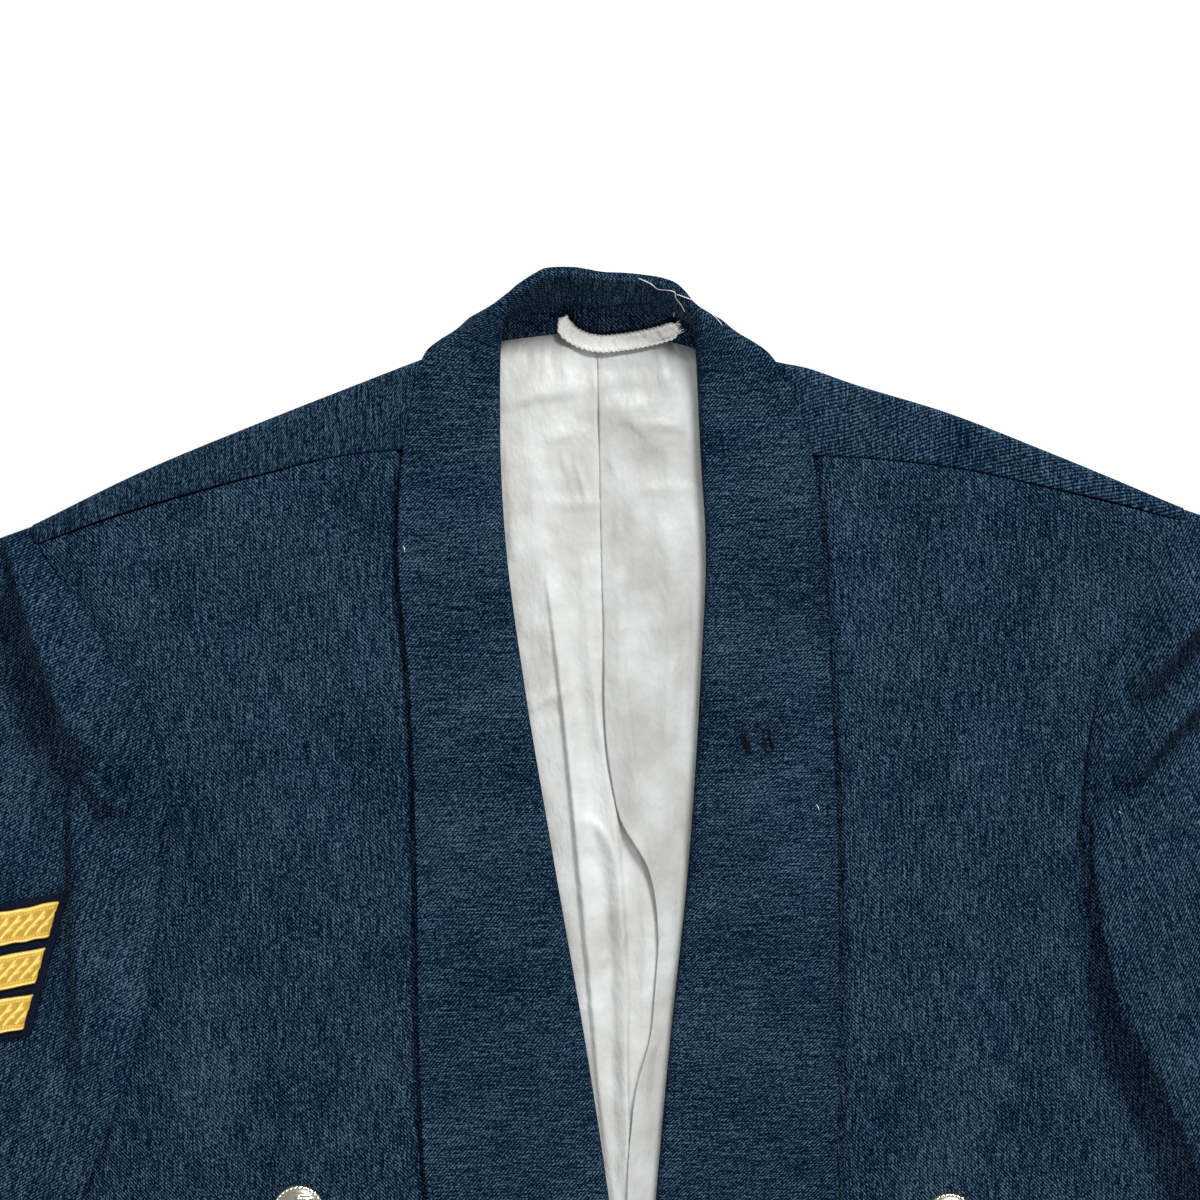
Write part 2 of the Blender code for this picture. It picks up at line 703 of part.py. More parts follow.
def fold_heights(side, out, y):
    """What a sleeve's folds add to its height: each is a soft ridge or trough along a bent line."""
    total = np.zeros(np.shape(out))
    for x0, y0, x1, y1, x2, y2, half_width, height in SLEEVE_FOLDS[side]:
        t = np.linspace(0, 1, 25)[:, None]
        bend = np.array((2 * x1 - (x0 + x2) / 2, 2 * y1 - (y0 + y2) / 2))
        line = (1 - t) ** 2 * (x0, y0) + 2 * t * (1 - t) * bend + t * t * (x2, y2)
        fade = np.sin(np.pi * np.clip(t[:, 0], 0.0, 1.0)) ** 0.5
        apart = np.hypot(np.asarray(out)[..., None] - line[:, 0], np.asarray(y)[..., None] - line[:, 1])
        nearest = apart.argmin(axis=-1)
        gap = np.take_along_axis(apart, nearest[..., None], axis=-1)[..., 0]
        total = total + height * fade[nearest] * np.exp(-((gap / half_width) ** 2))
    return total


def sleeve_grid(side):
    """A flattened tube: each ring goes over the top from the outer fold to the inner one, and back below."""
    over, under = np.array(OVER_SLEEVE), np.array(UNDER_SLEEVE)
    keys = np.arange(len(SLEEVE[side]))
    sections = spline(np.column_stack([keys, SLEEVE[side]]), SLEEVE_RINGS)
    start = np.array(SLEEVE[side][0])
    seam = along([start[:2]] + list(FRONT_ARMHOLE[side]), over)
    seam[1:-1, 0] += SEAM_HALF
    seam_height = front_top(side, SIGN[side] * seam[:, 0], seam[:, 1])
    back = under <= UNDERARM_AT
    floor = np.zeros((len(under), 2))
    floor[back] = along([start[:2]] + list(BACK_ARMHOLE[side][1:]), under[back] / UNDERARM_AT)
    floor[back] += UNDERARM_EASE * np.column_stack([np.ones(back.sum()), ease(under[back], 0.25, 0.45)])
    floor[~back] = along(HIDDEN_ARMHOLE[side][::-1], (under[~back] - UNDERARM_AT) / (1 - UNDERARM_AT))
    floor[0], floor[-1] = seam[0], seam[-1]
    rings = []
    for key, section in zip(SLEEVE_RINGS, sections):
        t = min(key / STRAIGHT_FROM, 1.0)
        above = between_edges(side, seam, over, t, section, np.ones(len(over)))
        below = between_edges(side, floor, under, t, section, (2 * under - 1) ** 2)
        top, _ = sleeve_levels(side, above)
        near_seam = 1 - ease(t, 0.0, 0.75)
        top = seam_height * near_seam + top * (1 - near_seam)
        top = top + fold_heights(side, above[:, 0], above[:, 1]) * ease(key, 0.0, 0.5)
        _, low = sleeve_levels(side, below)
        head_low = SLEEVE_OVER_FRONT + front_top(side, SIGN[side] * below[:, 0], below[:, 1])
        head_low = head_low * ease(under, UNDERARM_AT - 0.08, UNDERARM_AT)
        mix = ease(t, 0.55, 1.0)
        low = head_low * (1 - mix) + low * mix
        low_there = np.interp(over, under, low)
        top = np.maximum(top, low_there + 2 * SLEEVE_WALL + SLEEVE_AIR)
        top_there = np.interp(under, over, top)
        top = (top + low_there) / 2 + (top - low_there) / 2 * fold_share(over)
        low = (top_there + low) / 2 - (top_there - low) / 2 * fold_share(under)
        ring = [(SIGN[side] * p[0], p[1], z) for p, z in zip(above, top)]
        ring += [(SIGN[side] * p[0], p[1], z) for p, z in zip(below[-2:0:-1], low[-2:0:-1])]
        rings.append(ring)
    return np.array(rings)


def between_edges(side, first, across, t, section, follow):
    """A ring's points at t of the way from the armhole to the first straight section, or beyond it.

    Follow is how far a point keeps to the curve of the two folds, from 0 to 1.
    """
    u = across[:, None]
    ruled = section[:2] + (section[2:] - section[:2]) * u
    if t >= 1:
        return ruled
    start, straight = np.array(SLEEVE[side][0]), np.array(SLEEVE[side][STRAIGHT_FROM])
    chord = start[:2] + (start[2:] - start[:2]) * u
    line = straight[:2] + (straight[2:] - straight[:2]) * u
    even = (1 - t) * chord + t * line
    return even + (1 - t) * (first - chord) + (ruled - even) * follow[:, None]


def fold_share(across):
    """0 at a sleeve's two folds and 1 on its flat, round between them."""
    return np.sqrt(1 - (1 - np.clip(np.minimum(across, 1 - across) / FOLD_SHARE, 0, 1)) ** 2)


def sleeve_levels(side, points):
    """The plain heights of a sleeve's upper and lower face: over the front, and on the floor outside it."""
    out, y = points[:, 0], points[:, 1]
    past_side = out - spline(SIDE[side], y)[:, 0]
    past_hem = HEM_AT_SIDE - y
    front = front_top(side, SIGN[side] * out, y) + SLEEVE_OVER_FRONT
    below = front * (1 - ease(past_side, 2, 25)) * (1 - ease(past_hem, 9, 34))
    above = front * (1 - ease(past_side, -3, 35)) * (1 - ease(past_hem, 2, 40)) + SLEEVE_LOFT
    return above, below


def badge(tree):
    """Three chevrons of lace on a felt backing, laid on the right sleeve."""
    across = np.concatenate([np.linspace(-1, -0.04, 6), [0.0], np.linspace(0.04, 1, 6)])
    down = np.array([math.sin(BADGE_TURN), -math.cos(BADGE_TURN)])
    side_way = np.array([math.cos(BADGE_TURN), math.sin(BADGE_TURN)])

    def strip(first, last, half, lift, rows):
        grid = []
        for depth in np.linspace(last, first, rows):
            row = []
            for share in across:
                sideways = share * half
                run = depth - abs(sideways) * math.tan(BAR_SLOPE)
                x, y = np.array(BADGE_POINT) + sideways * side_way + run * down
                row.append((x, y, height_near(tree, x, y) + lift))
            grid.append(row)
        return np.array(grid)

    bar_depth = BAR_WIDTH / math.cos(BAR_SLOPE)
    depth = (BARS - 1) * BAR_PITCH + bar_depth
    half = BADGE_HALF_WIDTH + BADGE_MARGIN
    felt_grid = strip(-BADGE_MARGIN, depth + BADGE_MARGIN, half, BADGE_WALL + 4 * GAP, 7)
    felt = material("navy_felt", (0.012, 0.015, 0.03), 0.95)
    made = [sheet("chevron_backing", [felt_grid], BADGE_WALL, felt)]
    tree = surface_of(felt_grid)
    for bar in range(BARS):
        first = bar * BAR_PITCH
        grid = strip(first, first + bar_depth, BADGE_HALF_WIDTH, LACE_WALL + GAP, 3)
        lace = material(f"gold_lace_{bar + 1}", (0.75, 0.5, 0.08), 0.5)
        made.append(sheet(f"chevron_bar_{bar + 1}", [grid], LACE_WALL, lace))
    return made


def button(name, x, y, base, brass):
    """A domed button with a raised rim, turned round its own axis."""
    bm = bmesh.new()
    profile = [Vector((r * BUTTON_RADIUS, 0, z * BUTTON_HEIGHT)) * METRES for r, z in BUTTON_PROFILE]
    points = [bm.verts.new(p) for p in profile]
    edges = [bm.edges.new(pair) for pair in zip(points, points[1:])]
    bmesh.ops.spin(
        bm,
        geom=points + edges,
        cent=(0, 0, 0),
        axis=(0, 0, 1),
        angle=math.tau,
        steps=BUTTON_SEGMENTS,
        use_duplicate=False,
    )
    bmesh.ops.remove_doubles(bm, verts=bm.verts, dist=0.01 * METRES)
    bmesh.ops.recalc_face_normals(bm, faces=bm.faces)
    made = add(name, bm, brass)
    made.location = Vector((x, y, base)) * METRES
    return made


def hanger(tape):
    """The tape loop at the back neck, with its ends turned up to the seam."""
    middle = along(HANGER, np.linspace(0, 1, 19))
    way = np.gradient(middle[:, :2], axis=0)
    way /= np.linalg.norm(way, axis=1)[:, None]
    across = np.column_stack([-way[:, 1], way[:, 0]]) * TAPE_WIDTH / 2
    grid = []
    for (x, y, lift), (dx, dy) in zip(middle, across):
        top = FACING_TOP + lift + TAPE_WALL
        grid.append([(x + dx * share, y + dy * share, top) for share in (1, 0, -1)])
    return sheet("hanger_loop", [np.array(grid)], TAPE_WALL, tape)


def medal_loop(name, x, y, length, bow, level, thread):
    """A short bar of twisted thread that stands a little off the lapel between its two ends."""
    curve = bpy.data.curves.new(name, "CURVE")
    curve.dimensions = "3D"
    curve.bevel_depth = THREAD_RADIUS * METRES
    curve.bevel_resolution = 1
    curve.use_fill_caps = True
    line = curve.splines.new("POLY")
    count = 9
    line.points.add(count - 1)
    for i in range(count):
        share = i / (count - 1)
        arch = math.sin(math.pi * share)
        height = level + THREAD_RADIUS + THREAD_CLEAR + arch / 2
        at = Vector((x + bow * arch, y + length * (0.5 - share), height))
        line.points[i].co = (*(at * METRES), 1.0)
    curve.materials.append(thread)
    made = bpy.data.objects.new(name, curve)
    bpy.context.scene.collection.objects.link(made)
    return made


def stand_at_centre(pieces):
    """Moves every piece so that the origin is the bottom centre of the whole jacket's box."""
    bpy.context.view_layer.update()
    depsgraph = bpy.context.evaluated_depsgraph_get()
    corners = []
    for piece in pieces:
        shape = piece.evaluated_get(depsgraph)
        mesh = shape.to_mesh()
        corners += [shape.matrix_world @ v.co for v in mesh.vertices]
        shape.to_mesh_clear()
    corners = np.array(corners)
    low, high = corners.min(axis=0), corners.max(axis=0)
    shift = Vector((-(low[0] + high[0]) / 2, -(low[1] + high[1]) / 2, -low[2]))
    for piece in pieces:
        piece.data.transform(piece.matrix_basis)
        piece.matrix_basis = Matrix.Identity(4)
        piece.data.transform(Matrix.Translation(shift))


def main():
    for old in list(bpy.data.objects):
        bpy.data.objects.remove(old)

    def wool(name):
        return material(f"{name}_wool", (0.035, 0.075, 0.125), 0.85)

    pieces = [back_panel(wool("back")), facing(wool("facing"))]
    fronts = {}
    for side in (RIGHT, LEFT):
        grid = front_grid(side)
        fronts[side] = surface_of(grid)
        name = f"front_{side}"
        pieces.append(sheet(name, [grid], FRONT_WALL, wool(name), flipped=side == RIGHT))
        pieces.append(lining(side, material(f"{side}_satin", (0.78, 0.77, 0.72), 0.35)))
    collar = collar_grid()
    pieces.append(sheet("shawl_collar", [collar], COLLAR_WALL, wool("collar"), flipped=True))
    for side in (RIGHT, LEFT):
        grid = sleeve_grid(side)
        name = f"sleeve_{side}"
        pieces.append(sheet(name, [grid], SLEEVE_WALL, wool(name), around=True, flipped=side == RIGHT))
        if side == RIGHT:
            pieces += badge(surface_of(grid, around=True))

    pieces.append(hanger(material("hanger_tape", (0.75, 0.74, 0.7), 0.8)))
    lapel = surface_of(collar)
    for number, (x, y, length, bow) in enumerate(MEDAL_LOOPS, 1):
        thread = material(f"dark_thread_{number}", (0.01, 0.015, 0.03), 0.7)
        level = height_on(lapel, x, y)
        pieces.append(medal_loop(f"medal_loop_{number}", x, y, length, bow, level, thread))
    for side in (RIGHT, LEFT):
        for number in range(BUTTONS_A_SIDE):
            out, y = np.array(BUTTON_TOP[side]) + np.array(BUTTON_STEP) * number
            x = SIGN[side] * out
            r = BUTTON_RADIUS
            under = ((x, y), (x + r, y), (x - r, y), (x, y + r), (x, y - r))
            base = max(height_on(fronts[side], *at) for at in under) + GAP
            name = f"button_{side}_{number + 1}"
            pieces.append(button(name, x, y, base, material(f"{name}_metal", (0.8, 0.72, 0.5), 0.3, 1.0)))
    stand_at_centre(pieces)


main()
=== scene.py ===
"""The looks of the mess jacket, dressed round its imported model.

Lengths are in millimetres in the jacket's own frame, as in the part's source. The origin is on the floor
under the seam at the centre of the back neck, +X runs towards the wearer's left, +Y towards the collar
and +Z up. "Out" is the distance from the centre line towards a side.
"""

import math

import bmesh
import bpy
import numpy as np
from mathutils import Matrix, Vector
from mathutils.bvhtree import BVHTree


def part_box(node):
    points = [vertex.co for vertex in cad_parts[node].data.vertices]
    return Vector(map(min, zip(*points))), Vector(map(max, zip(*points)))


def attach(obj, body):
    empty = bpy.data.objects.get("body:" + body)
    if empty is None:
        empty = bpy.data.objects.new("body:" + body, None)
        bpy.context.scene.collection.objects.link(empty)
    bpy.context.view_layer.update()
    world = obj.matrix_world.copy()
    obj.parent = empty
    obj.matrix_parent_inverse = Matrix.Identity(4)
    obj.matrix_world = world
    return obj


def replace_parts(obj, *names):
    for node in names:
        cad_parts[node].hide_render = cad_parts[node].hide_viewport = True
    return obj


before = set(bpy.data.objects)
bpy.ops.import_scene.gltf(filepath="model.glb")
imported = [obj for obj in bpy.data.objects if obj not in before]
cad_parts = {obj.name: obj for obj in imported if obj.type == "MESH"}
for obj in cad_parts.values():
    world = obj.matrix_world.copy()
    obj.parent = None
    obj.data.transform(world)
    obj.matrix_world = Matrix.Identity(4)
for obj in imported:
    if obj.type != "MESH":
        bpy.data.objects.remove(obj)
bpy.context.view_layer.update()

METRES = 0.001

# The gap between pieces, how much further a seam stands open, and how deep the cloth dips into it
GAP = 0.3
SEAM_OPEN = 0.03
SEAM_DIP = 0.75

# The least width of the strip over the shoulder, how near points are that become one, and where rays start
STRIP_LEAST = 1.0
MERGE = 0.02
LOOK_DOWN_FROM = 100.0

# The order of a face's corners that turns it over
TURN_OVER = [0, 3, 2, 1]

# Walls of the cloth
BACK_WALL = 1.8
FRONT_WALL = 2.0
COLLAR_WALL = 2.0
SLEEVE_WALL = 1.6
FACING_WALL = 1.2
LINING_WALL = 1.0
BADGE_WALL = 1.2
TAPE_WALL = 1.2

# Heights above the floor
FACING_TOP = BACK_WALL + GAP + FACING_WALL
LINING_TOP = BACK_WALL + GAP + LINING_WALL
PLEAT_TOP = LINING_TOP + GAP + LINING_WALL
TUCK_UNDERSIDE = PLEAT_TOP + GAP
FRONT_FLAT = 6.6
FRONT_RISE = (62.0, 16.0)
FRONT_AT_ROLL = TUCK_UNDERSIDE + COLLAR_WALL + GAP + FRONT_WALL
SHOULDER_PAD = 6.0
PAD_OUT, PAD_Y, PAD_REACH = 200.0, -104.0, 62.0
SIDE_EDGE_TOP = BACK_WALL + GAP + FRONT_WALL
SIDE_CURL = 14.0
SIDE_CURL_BELOW = (-262.0, -284.0)
SLEEVE_LOFT = 6.2
SLEEVE_OVER_FRONT = 1.0
SLEEVE_AIR = 1.4
UNDERARM_EASE = 2.5

# The collar's roll
ROLL_HEIGHT = FRONT_AT_ROLL + GAP + COLLAR_WALL
ROLL_RADIUS = (ROLL_HEIGHT - TUCK_UNDERSIDE) / 2
FRONT_INSIDE_ROLL = 3.4
NECK_EDGE = 46.5
TUCK_DEPTH = 13.0
CREST_HEIGHT = 25.4

RIGHT, LEFT = "right", "left"
SIGN = {RIGHT: -1.0, LEFT: 1.0}

# The shoulders: distance out, y of the fold over the top, y of the seam in front of it
SHOULDER = {
    RIGHT: (
        (46.5, -7.2, -55.6), (56, -13, -55.5), (70, -18.6, -55.6), (84, -23.6, -56.1),
        (102.5, -30.3, -57.3), (142.7, -45.2, -65.6), (185.4, -62, -76.6), (230, -82.6, -90.2),
    ),
    LEFT: (
        (46.5, -12, -59.5), (54, -17.4, -59.8), (64, -22.4, -60.5), (82, -26.9, -61.9), (98, -32.9, -63),
        (137.8, -46.2, -67.9), (177.5, -62.9, -77.2), (230, -86.2, -91),
    ),
}

# The lapels: y, out to the roll line, out to the outer edge
LAPEL = {
    RIGHT: (
        (-494, -1.2, 9), (-475, -1.2, 33), (-440, -0.6, 58), (-400, 1.8, 73), (-357, 5.8, 78),
        (-300, 13, 80), (-225, 24.2, 79.4), (-150, 35, 80.5), (-95, 41, 83.8), (-60, 42.3, 81.5),
        (-34, 41.9, 76.8),
    ),
    LEFT: (
        (-494, 5.8, 16), (-475, 5.8, 40), (-440, 6.2, 64), (-400, 9, 80), (-357, 13.1, 84.5),
        (-300, 19.5, 87), (-225, 29, 88.4), (-150, 35.6, 87), (-95, 38.9, 84.6), (-60, 37.6, 81.5),
        (-38, 37.1, 75.6),
    ),
}

# The collar round the neck, from the right shoulder to the left: x and y of its crest, the way outwards in
# degrees, how far its top runs outwards, and its turn, 0 where it lies on the front and 1 where it stands
NECK = (
    (-41.8, -29, 174.5, 33.3, 0),
    (-41.5, -21.5, 169.5, 29.5, 0.22),
    (-40.8, -14, 163, 19.6, 0.42),
    (-39.4, -6.5, 151, 12, 0.56),
    (-36.6, 0.2, 136, 6.6, 0.74),
    (-30.6, 6, 118, 3.4, 0.92),
    (-21, 11, 99, 3, 1),
    (0, 8.8, 88, 3, 1),
    (18, 7, 84, 3, 1),
    (27.6, 4, 66, 3, 0.92),
    (33.2, -3, 47, 5, 0.74),
    (35.8, -8.8, 31, 9.4, 0.56),
    (36.4, -17, 18, 17.8, 0.42),
    (36.8, -25, 10.4, 28.6, 0.22),
    (37, -33.5, 4.8, 35.6, 0),
)

# The collar's section at the back neck: up its stand to the crest, and down its fall to the floor
STANDING_SECTION = (
    *((-11.0, 2.6), (-9.8, 5.4), (-7.8, 9.6), (-5.6, 15.0), (-3.2, 21.0), (-0.8, 25.8)),
    *((1.0, CREST_HEIGHT), (2.6, 25.2), (3.0, 20.0), (2.4, 12.0), (0.8, 5.4), (-1.6, 0.0)),
)

# The body's side edge below the armhole: y, out
SIDE = {
    RIGHT: ((-478.0, 261.0), (-430.0, 262.0), (-380.0, 265.0), (-330.0, 268.5), (-284.0, 270.0)),
    LEFT: ((-478.0, 263.0), (-430.0, 264.0), (-380.0, 267.0), (-330.0, 270.5), (-286.0, 272.0)),
}
HEM_AT_SIDE = -478.0

# The armholes from the shoulder down to the underarm: out, y. The front one shows as far as the sleeve's fold
FRONT_ARMHOLE = {
    RIGHT: (
        (228, -90.6), (212.3, -116), (199.3, -139.4), (190.2, -160.8), (184, -186.8), (181.6, -205),
    ),
    LEFT: (
        (228.2, -91.2), (218.3, -110.6), (210.7, -128.7), (202.3, -149.8), (196.3, -172), (190.2, -213),
    ),
}
HIDDEN_ARMHOLE = {
    RIGHT: (
        (181.6, -205), (184.5, -222), (196, -243), (217, -264), (243, -279), (270, -284),
    ),
    LEFT: (
        (190.2, -213), (193, -230), (204, -249), (224, -267), (248, -281), (272, -286),
    ),
}
BACK_ARMHOLE = {
    RIGHT: (
        (230, -88.3), (219, -122), (213, -165), (216, -210), (233, -252), (270, -284),
    ),
    LEFT: (
        (230, -91.9), (220, -126), (214, -168), (217, -212), (235, -254), (272, -286),
    ),
}
BACK_CORNER_OUT = 230.2

# How far the strip over the shoulder is drawn in at the armhole, and where that starts and ends
ARMHOLE_SLANT = 2.2
SLANT_OUT = (200.0, 230.0)

# Rows up the back, as shares of its height
BACK_ROW_COUNT = 80
BACK_ROWS = (0, 0.22, 0.42, 0.48, 0.53, 0.58, 0.64, 0.71, 0.79, 0.87, 0.94, 1)

# The sleeves' sections, from the armhole to the cuff: out and y of the outer fold, then of the inner fold
SLEEVE = {
    RIGHT: (
        (230.6, -83.2, 181.6, -205), (262, -94.5, 181.4, -218), (300, -112.5, 182.3, -236),
        (340, -146, 185.5, -256), (368, -195, 190, -284), (383, -243, 197, -309), (394, -290, 208.5, -336),
        (404, -340, 221, -368), (411, -395, 234, -412), (413, -450, 244, -458), (410, -510, 249.5, -515),
        (404, -580, 252, -590), (398, -646, 255, -661),
    ),
    LEFT: (
        (230.6, -86.8, 190.2, -213), (262, -98.5, 189.6, -226), (300, -117, 191.5, -246),
        (340, -151, 194.6, -268), (370, -200, 199, -287), (386, -247, 208, -303), (398, -293, 217.5, -326),
        (409, -343, 229.5, -360), (417, -398, 242.5, -404), (420, -452, 252, -450),
        (418, -512, 258.5, -512), (413, -580, 262, -586), (408, -641, 266, -656),
    ),
}
STRAIGHT_FROM = 6
SLEEVE_RINGS = (0, 0.12, 0.3, 0.52, 0.8, 1.15, 1.6, 2.1, 2.7, 3.4, 4.2, 5, 6, 7, 8, 9, 9.5, 10, 11, 12)

# Points across a sleeve from its outer fold to its inner one, above and below
OVER_SLEEVE = (
    *(0, 0.008, 0.03, 0.09, 0.17, 0.26, 0.35, 0.44, 0.53, 0.62),
    *(0.7, 0.77, 0.83, 0.88, 0.92, 0.955, 0.98, 0.994, 1),
)
UNDER_SLEEVE = (0, 0.008, 0.03, 0.14, 0.28, 0.4, 0.47, 0.54, 0.62, 0.71, 0.82, 0.93, 0.985, 1)
UNDERARM_AT = 0.54
FOLD_SHARE = 0.03
# Points: rings, across above, across below
SLEEVE_GRID = (190, 97, 43)

# The largest folds of the sleeves: out and y at the start, the middle and the end, half width, height
SLEEVE_FOLDS = {
    RIGHT: (
        (238, -100, 219, -150, 194, -190, 11, 8.5),
        (216, -168, 206, -196, 186, -202, 7, -4.5),
        (214, -186, 213, -236, 213, -300, 11, 4),
        (262, -120, 238, -160, 233, -215, 13, -2.5),
        (330, -160, 322, -260, 330, -350, 24, 5),
        (395, -380, 350, -395, 300, -382, 10, 3.5),
        (392, -425, 345, -432, 290, -408, 9, 3),
        (330, -470, 325, -550, 320, -640, 20, 2.5),
    ),
    LEFT: (
        (236, -108, 222, -140, 207, -172, 10, 5),
        (252, -125, 226, -142, 205, -158, 7, 4.5),
        (250, -141, 228, -155, 209, -168, 6, -5),
        (254, -152, 224, -172, 203, -198, 8, 5.5),
        (256, -190, 238, -230, 236, -290, 14, 2),
        (330, -165, 325, -262, 334, -350, 24, 5),
        (398, -385, 352, -398, 306, -380, 10, 3.5),
        (396, -432, 350, -436, 300, -410, 9, 3),
        (338, -470, 335, -550, 334, -640, 20, 2.5),
    ),
}

# Hems: out, y of the front's, y of the back's
HEM = (
    *((0, -503, -514), (60, -500, -508), (130, -492, -497), (200, -484, -487)),
    (265, HEM_AT_SIDE, HEM_AT_SIDE),
)
FRONT_POINT = -502.0

# The back neck: x, y of the seam; and x, y of the lower edge of the facing
NECKLINE = (
    (-46.5, -11.7), (-38, -7), (-30, -2.8), (-20, -0.9), (0, -0.7), (18, -0.9), (27, -4), (36, -9.5),
    (46.5, -16.5),
)
FACING_EDGE = ((-44.0, -13.2), (-25.5, -11.2), (-19.0, -10.6), (0.0, -11.6), (27.3, -15.0), (42.0, -19.5))

# The lining's centre: y, x of the seam or the pleat's open edge
PLEAT = (
    (-440, 3), (-334, 3.2), (-314, 6.1), (-294, 12.1), (-274, 14.6), (-250, 16.3), (-226, 12.9),
    (-206, 2.1), (-190, -1.1), (-120, -2.9), (-16, -2.8),
)
PLEAT_ENDS = (-190.0, -160.0)
# Points along it and across it
LINING_GRID = (246, 68)
LINING_BOTTOM = -440.0
PLEAT_UNDERLAP = 10.0
LINING_PAST_ROLL = 15.0
LINING_DRAWN_IN = 11.0
PLEAT_EDGE_UP = 1.5

# The badge on the right sleeve: its point, the way down the sleeve, and its bars
BADGE_POINT = (-265.6, -240.0)
BADGE_TURN = math.radians(-16.5)
BAR_SLOPE = math.radians(26.0)
BAR_PITCH = 18.9
BAR_WIDTH = 13.3
BADGE_HALF_WIDTH = 40.0
BADGE_MARGIN = 3.2
BARS = 3
BAR_DEPTH = BAR_WIDTH / math.cos(BAR_SLOPE)
BADGE_DEPTH = (BARS - 1) * BAR_PITCH + BAR_DEPTH
LACE_SHELL = 1.0
LACE_ABOVE_FELT = GAP + LACE_SHELL
# Points across and down
FELT_GRID = (140, 96)
LACE_GRID = (250, 40)
FIBRES = 1500

# The buttons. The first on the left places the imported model: its x and y
BUTTON_RADIUS = 11.2
BUTTON_HEIGHT = 6.5
BUTTON_LEFT_1 = (130.1, -368.6)
BUTTONS_A_SIDE = 3
# Points from the middle to the rim and round it
BUTTON_GRID = (46, 144)

# The hanger's tape along its middle line: x, y, height above what lies under it
HANGER = (
    (-16.1, -4.4, 1.6), (-15.2, -8.6, 0.9), (-9.5, -13, 0.5), (-1.5, -15.2, 0.5), (6.5, -14.8, 0.5),
    (18.5, -13, 0.6), (25.2, -11.4, 1), (29.4, -10, 1.8),
)
TAPE_WIDTH = 7.0
TAPE_GRID = (150, 21)
STITCH_PITCH = 1.9

# The thread loops on the left lapel: x, y of the middle, length, bow to the side, half the way between the
# strands, slant
MEDAL_LOOPS = ((53.0, -175.8, 9.0, 1.2, 0.75, 0.9), (61.8, -175.6, 9.4, 0.9, 1.35, 0.2))

# The photo: millimetres for each pixel, the pixel over the origin, and how far the jacket is turned in it.
# The photo's scale holds at the focus height
PHOTO_SCALE = 0.4
PHOTO_ORIGIN = (603.0, 305.0)
PHOTO_TURN = math.radians(1.3)
PHOTO_CENTRE = (600.0, 600.0)
PHOTO_WIDTH = 1200.0
CAMERA_HEIGHT = 1250.0
FOCUS_HEIGHT = 8.0

# In metres: the lamps' places and sizes, with their power in watts, and half the floor's side
LIGHTS = (("Key", (0.80, 2.25, 1.70), 0.7, 118.0), ("Fill", (-0.4, -1.7, 2.3), 1.8, 50.0))
FLOOR_REACH = 4.0

# Colours along a value: place, colour
WOOL_TONES = (
    (0.655, (0.0001, 0.0024, 0.0087)),
    (0.79, (0.0035, 0.0153, 0.0325)),
    (0.95, (0.066, 0.107, 0.149)),
)
WOOL_TINTS = ((0.35, (0.96, 1.02, 0.98)), (0.65, (1.02, 0.99, 1.02)))
# The lace's colours by how far its weave stands out: painted shade where it lies low, a painted highlight
# where it stands out
LACE_SHADE_TONES = ((0.1, (0.30, 0.165, 0.015)), (0.45, (0.62, 0.38, 0.05)), (0.95, (0.95, 0.70, 0.20)))
# The darkest and the lightest satin, the ends of its random patches of painted shade
SATIN_TONES = ((0.39, 0.39, 0.37), (0.56, 0.575, 0.57))

# Folds, placed on the photo: pixels of the start, middle and end, half width and height in millimetres, and
# lean, which is how much wider a fold is to the right of its way than to the left. Those past the photo's
# edges are guessed
FRONT_FOLDS = {
    RIGHT: (
        (120, 640, 215, 800, 200, 980, 26, 1.2, 0),
        (395, 560, 380, 700, 395, 900, 14, -0.6, 0),
        (230, 560, 300, 700, 330, 860, 34, 0.9, 0),
        (150, 1040, 240, 1100, 330, 1120, 30, 1.1, 0),
        (260, 900, 330, 1000, 400, 1060, 22, -0.7, 0),
        (172, 830, 164, 960, 98, 1230, 9, -2.6, 0),
        (52, 556, 88, 618, 114, 664, 3.2, -2.4, -0.3),
        (112, 660, 138, 716, 157, 816, 3.2, -2.6, -0.3),
        (60, 1290, 150, 1330, 235, 1310, 15, 1.3, 0),
        (70, 1420, 150, 1400, 225, 1435, 13, 1.1, 0),
    ),
    LEFT: (
        (1090, 640, 1010, 800, 1050, 980, 26, 1.2, 0),
        (850, 560, 870, 700, 860, 900, 14, -0.6, 0),
        (1010, 560, 930, 700, 920, 860, 34, 0.9, 0),
        (1150, 1060, 1040, 1110, 960, 1120, 30, 1.1, 0),
        (1010, 900, 940, 1000, 880, 1060, 22, -0.7, 0),
        (1078, 790, 1082, 960, 1180, 1210, 9, -2.6, 0),
        (1172, 540, 1142, 610, 1112, 676, 3.2, -2.4, 0.3),
        (1114, 672, 1099, 740, 1091, 830, 3.2, -2.6, 0.3),
        (1150, 1290, 1060, 1320, 985, 1300, 15, 1.3, 0),
        (1140, 1430, 1050, 1400, 995, 1430, 13, 1.1, 0),
    ),
}

COLLAR_FOLDS = (
    (547, 270, 553, 281, 556, 292, 1.5, -1.5, 0),
    (538, 297, 549, 293, 563, 294, 1.4, -1, 0),
    (440, 500, 445, 700, 450, 860, 16, 0.5, 0),
    (480, 900, 490, 1000, 520, 1100, 14, -0.4, 0),
    (760, 480, 775, 640, 770, 800, 16, 0.5, 0),
    (750, 900, 740, 1000, 720, 1100, 14, -0.4, 0),
)

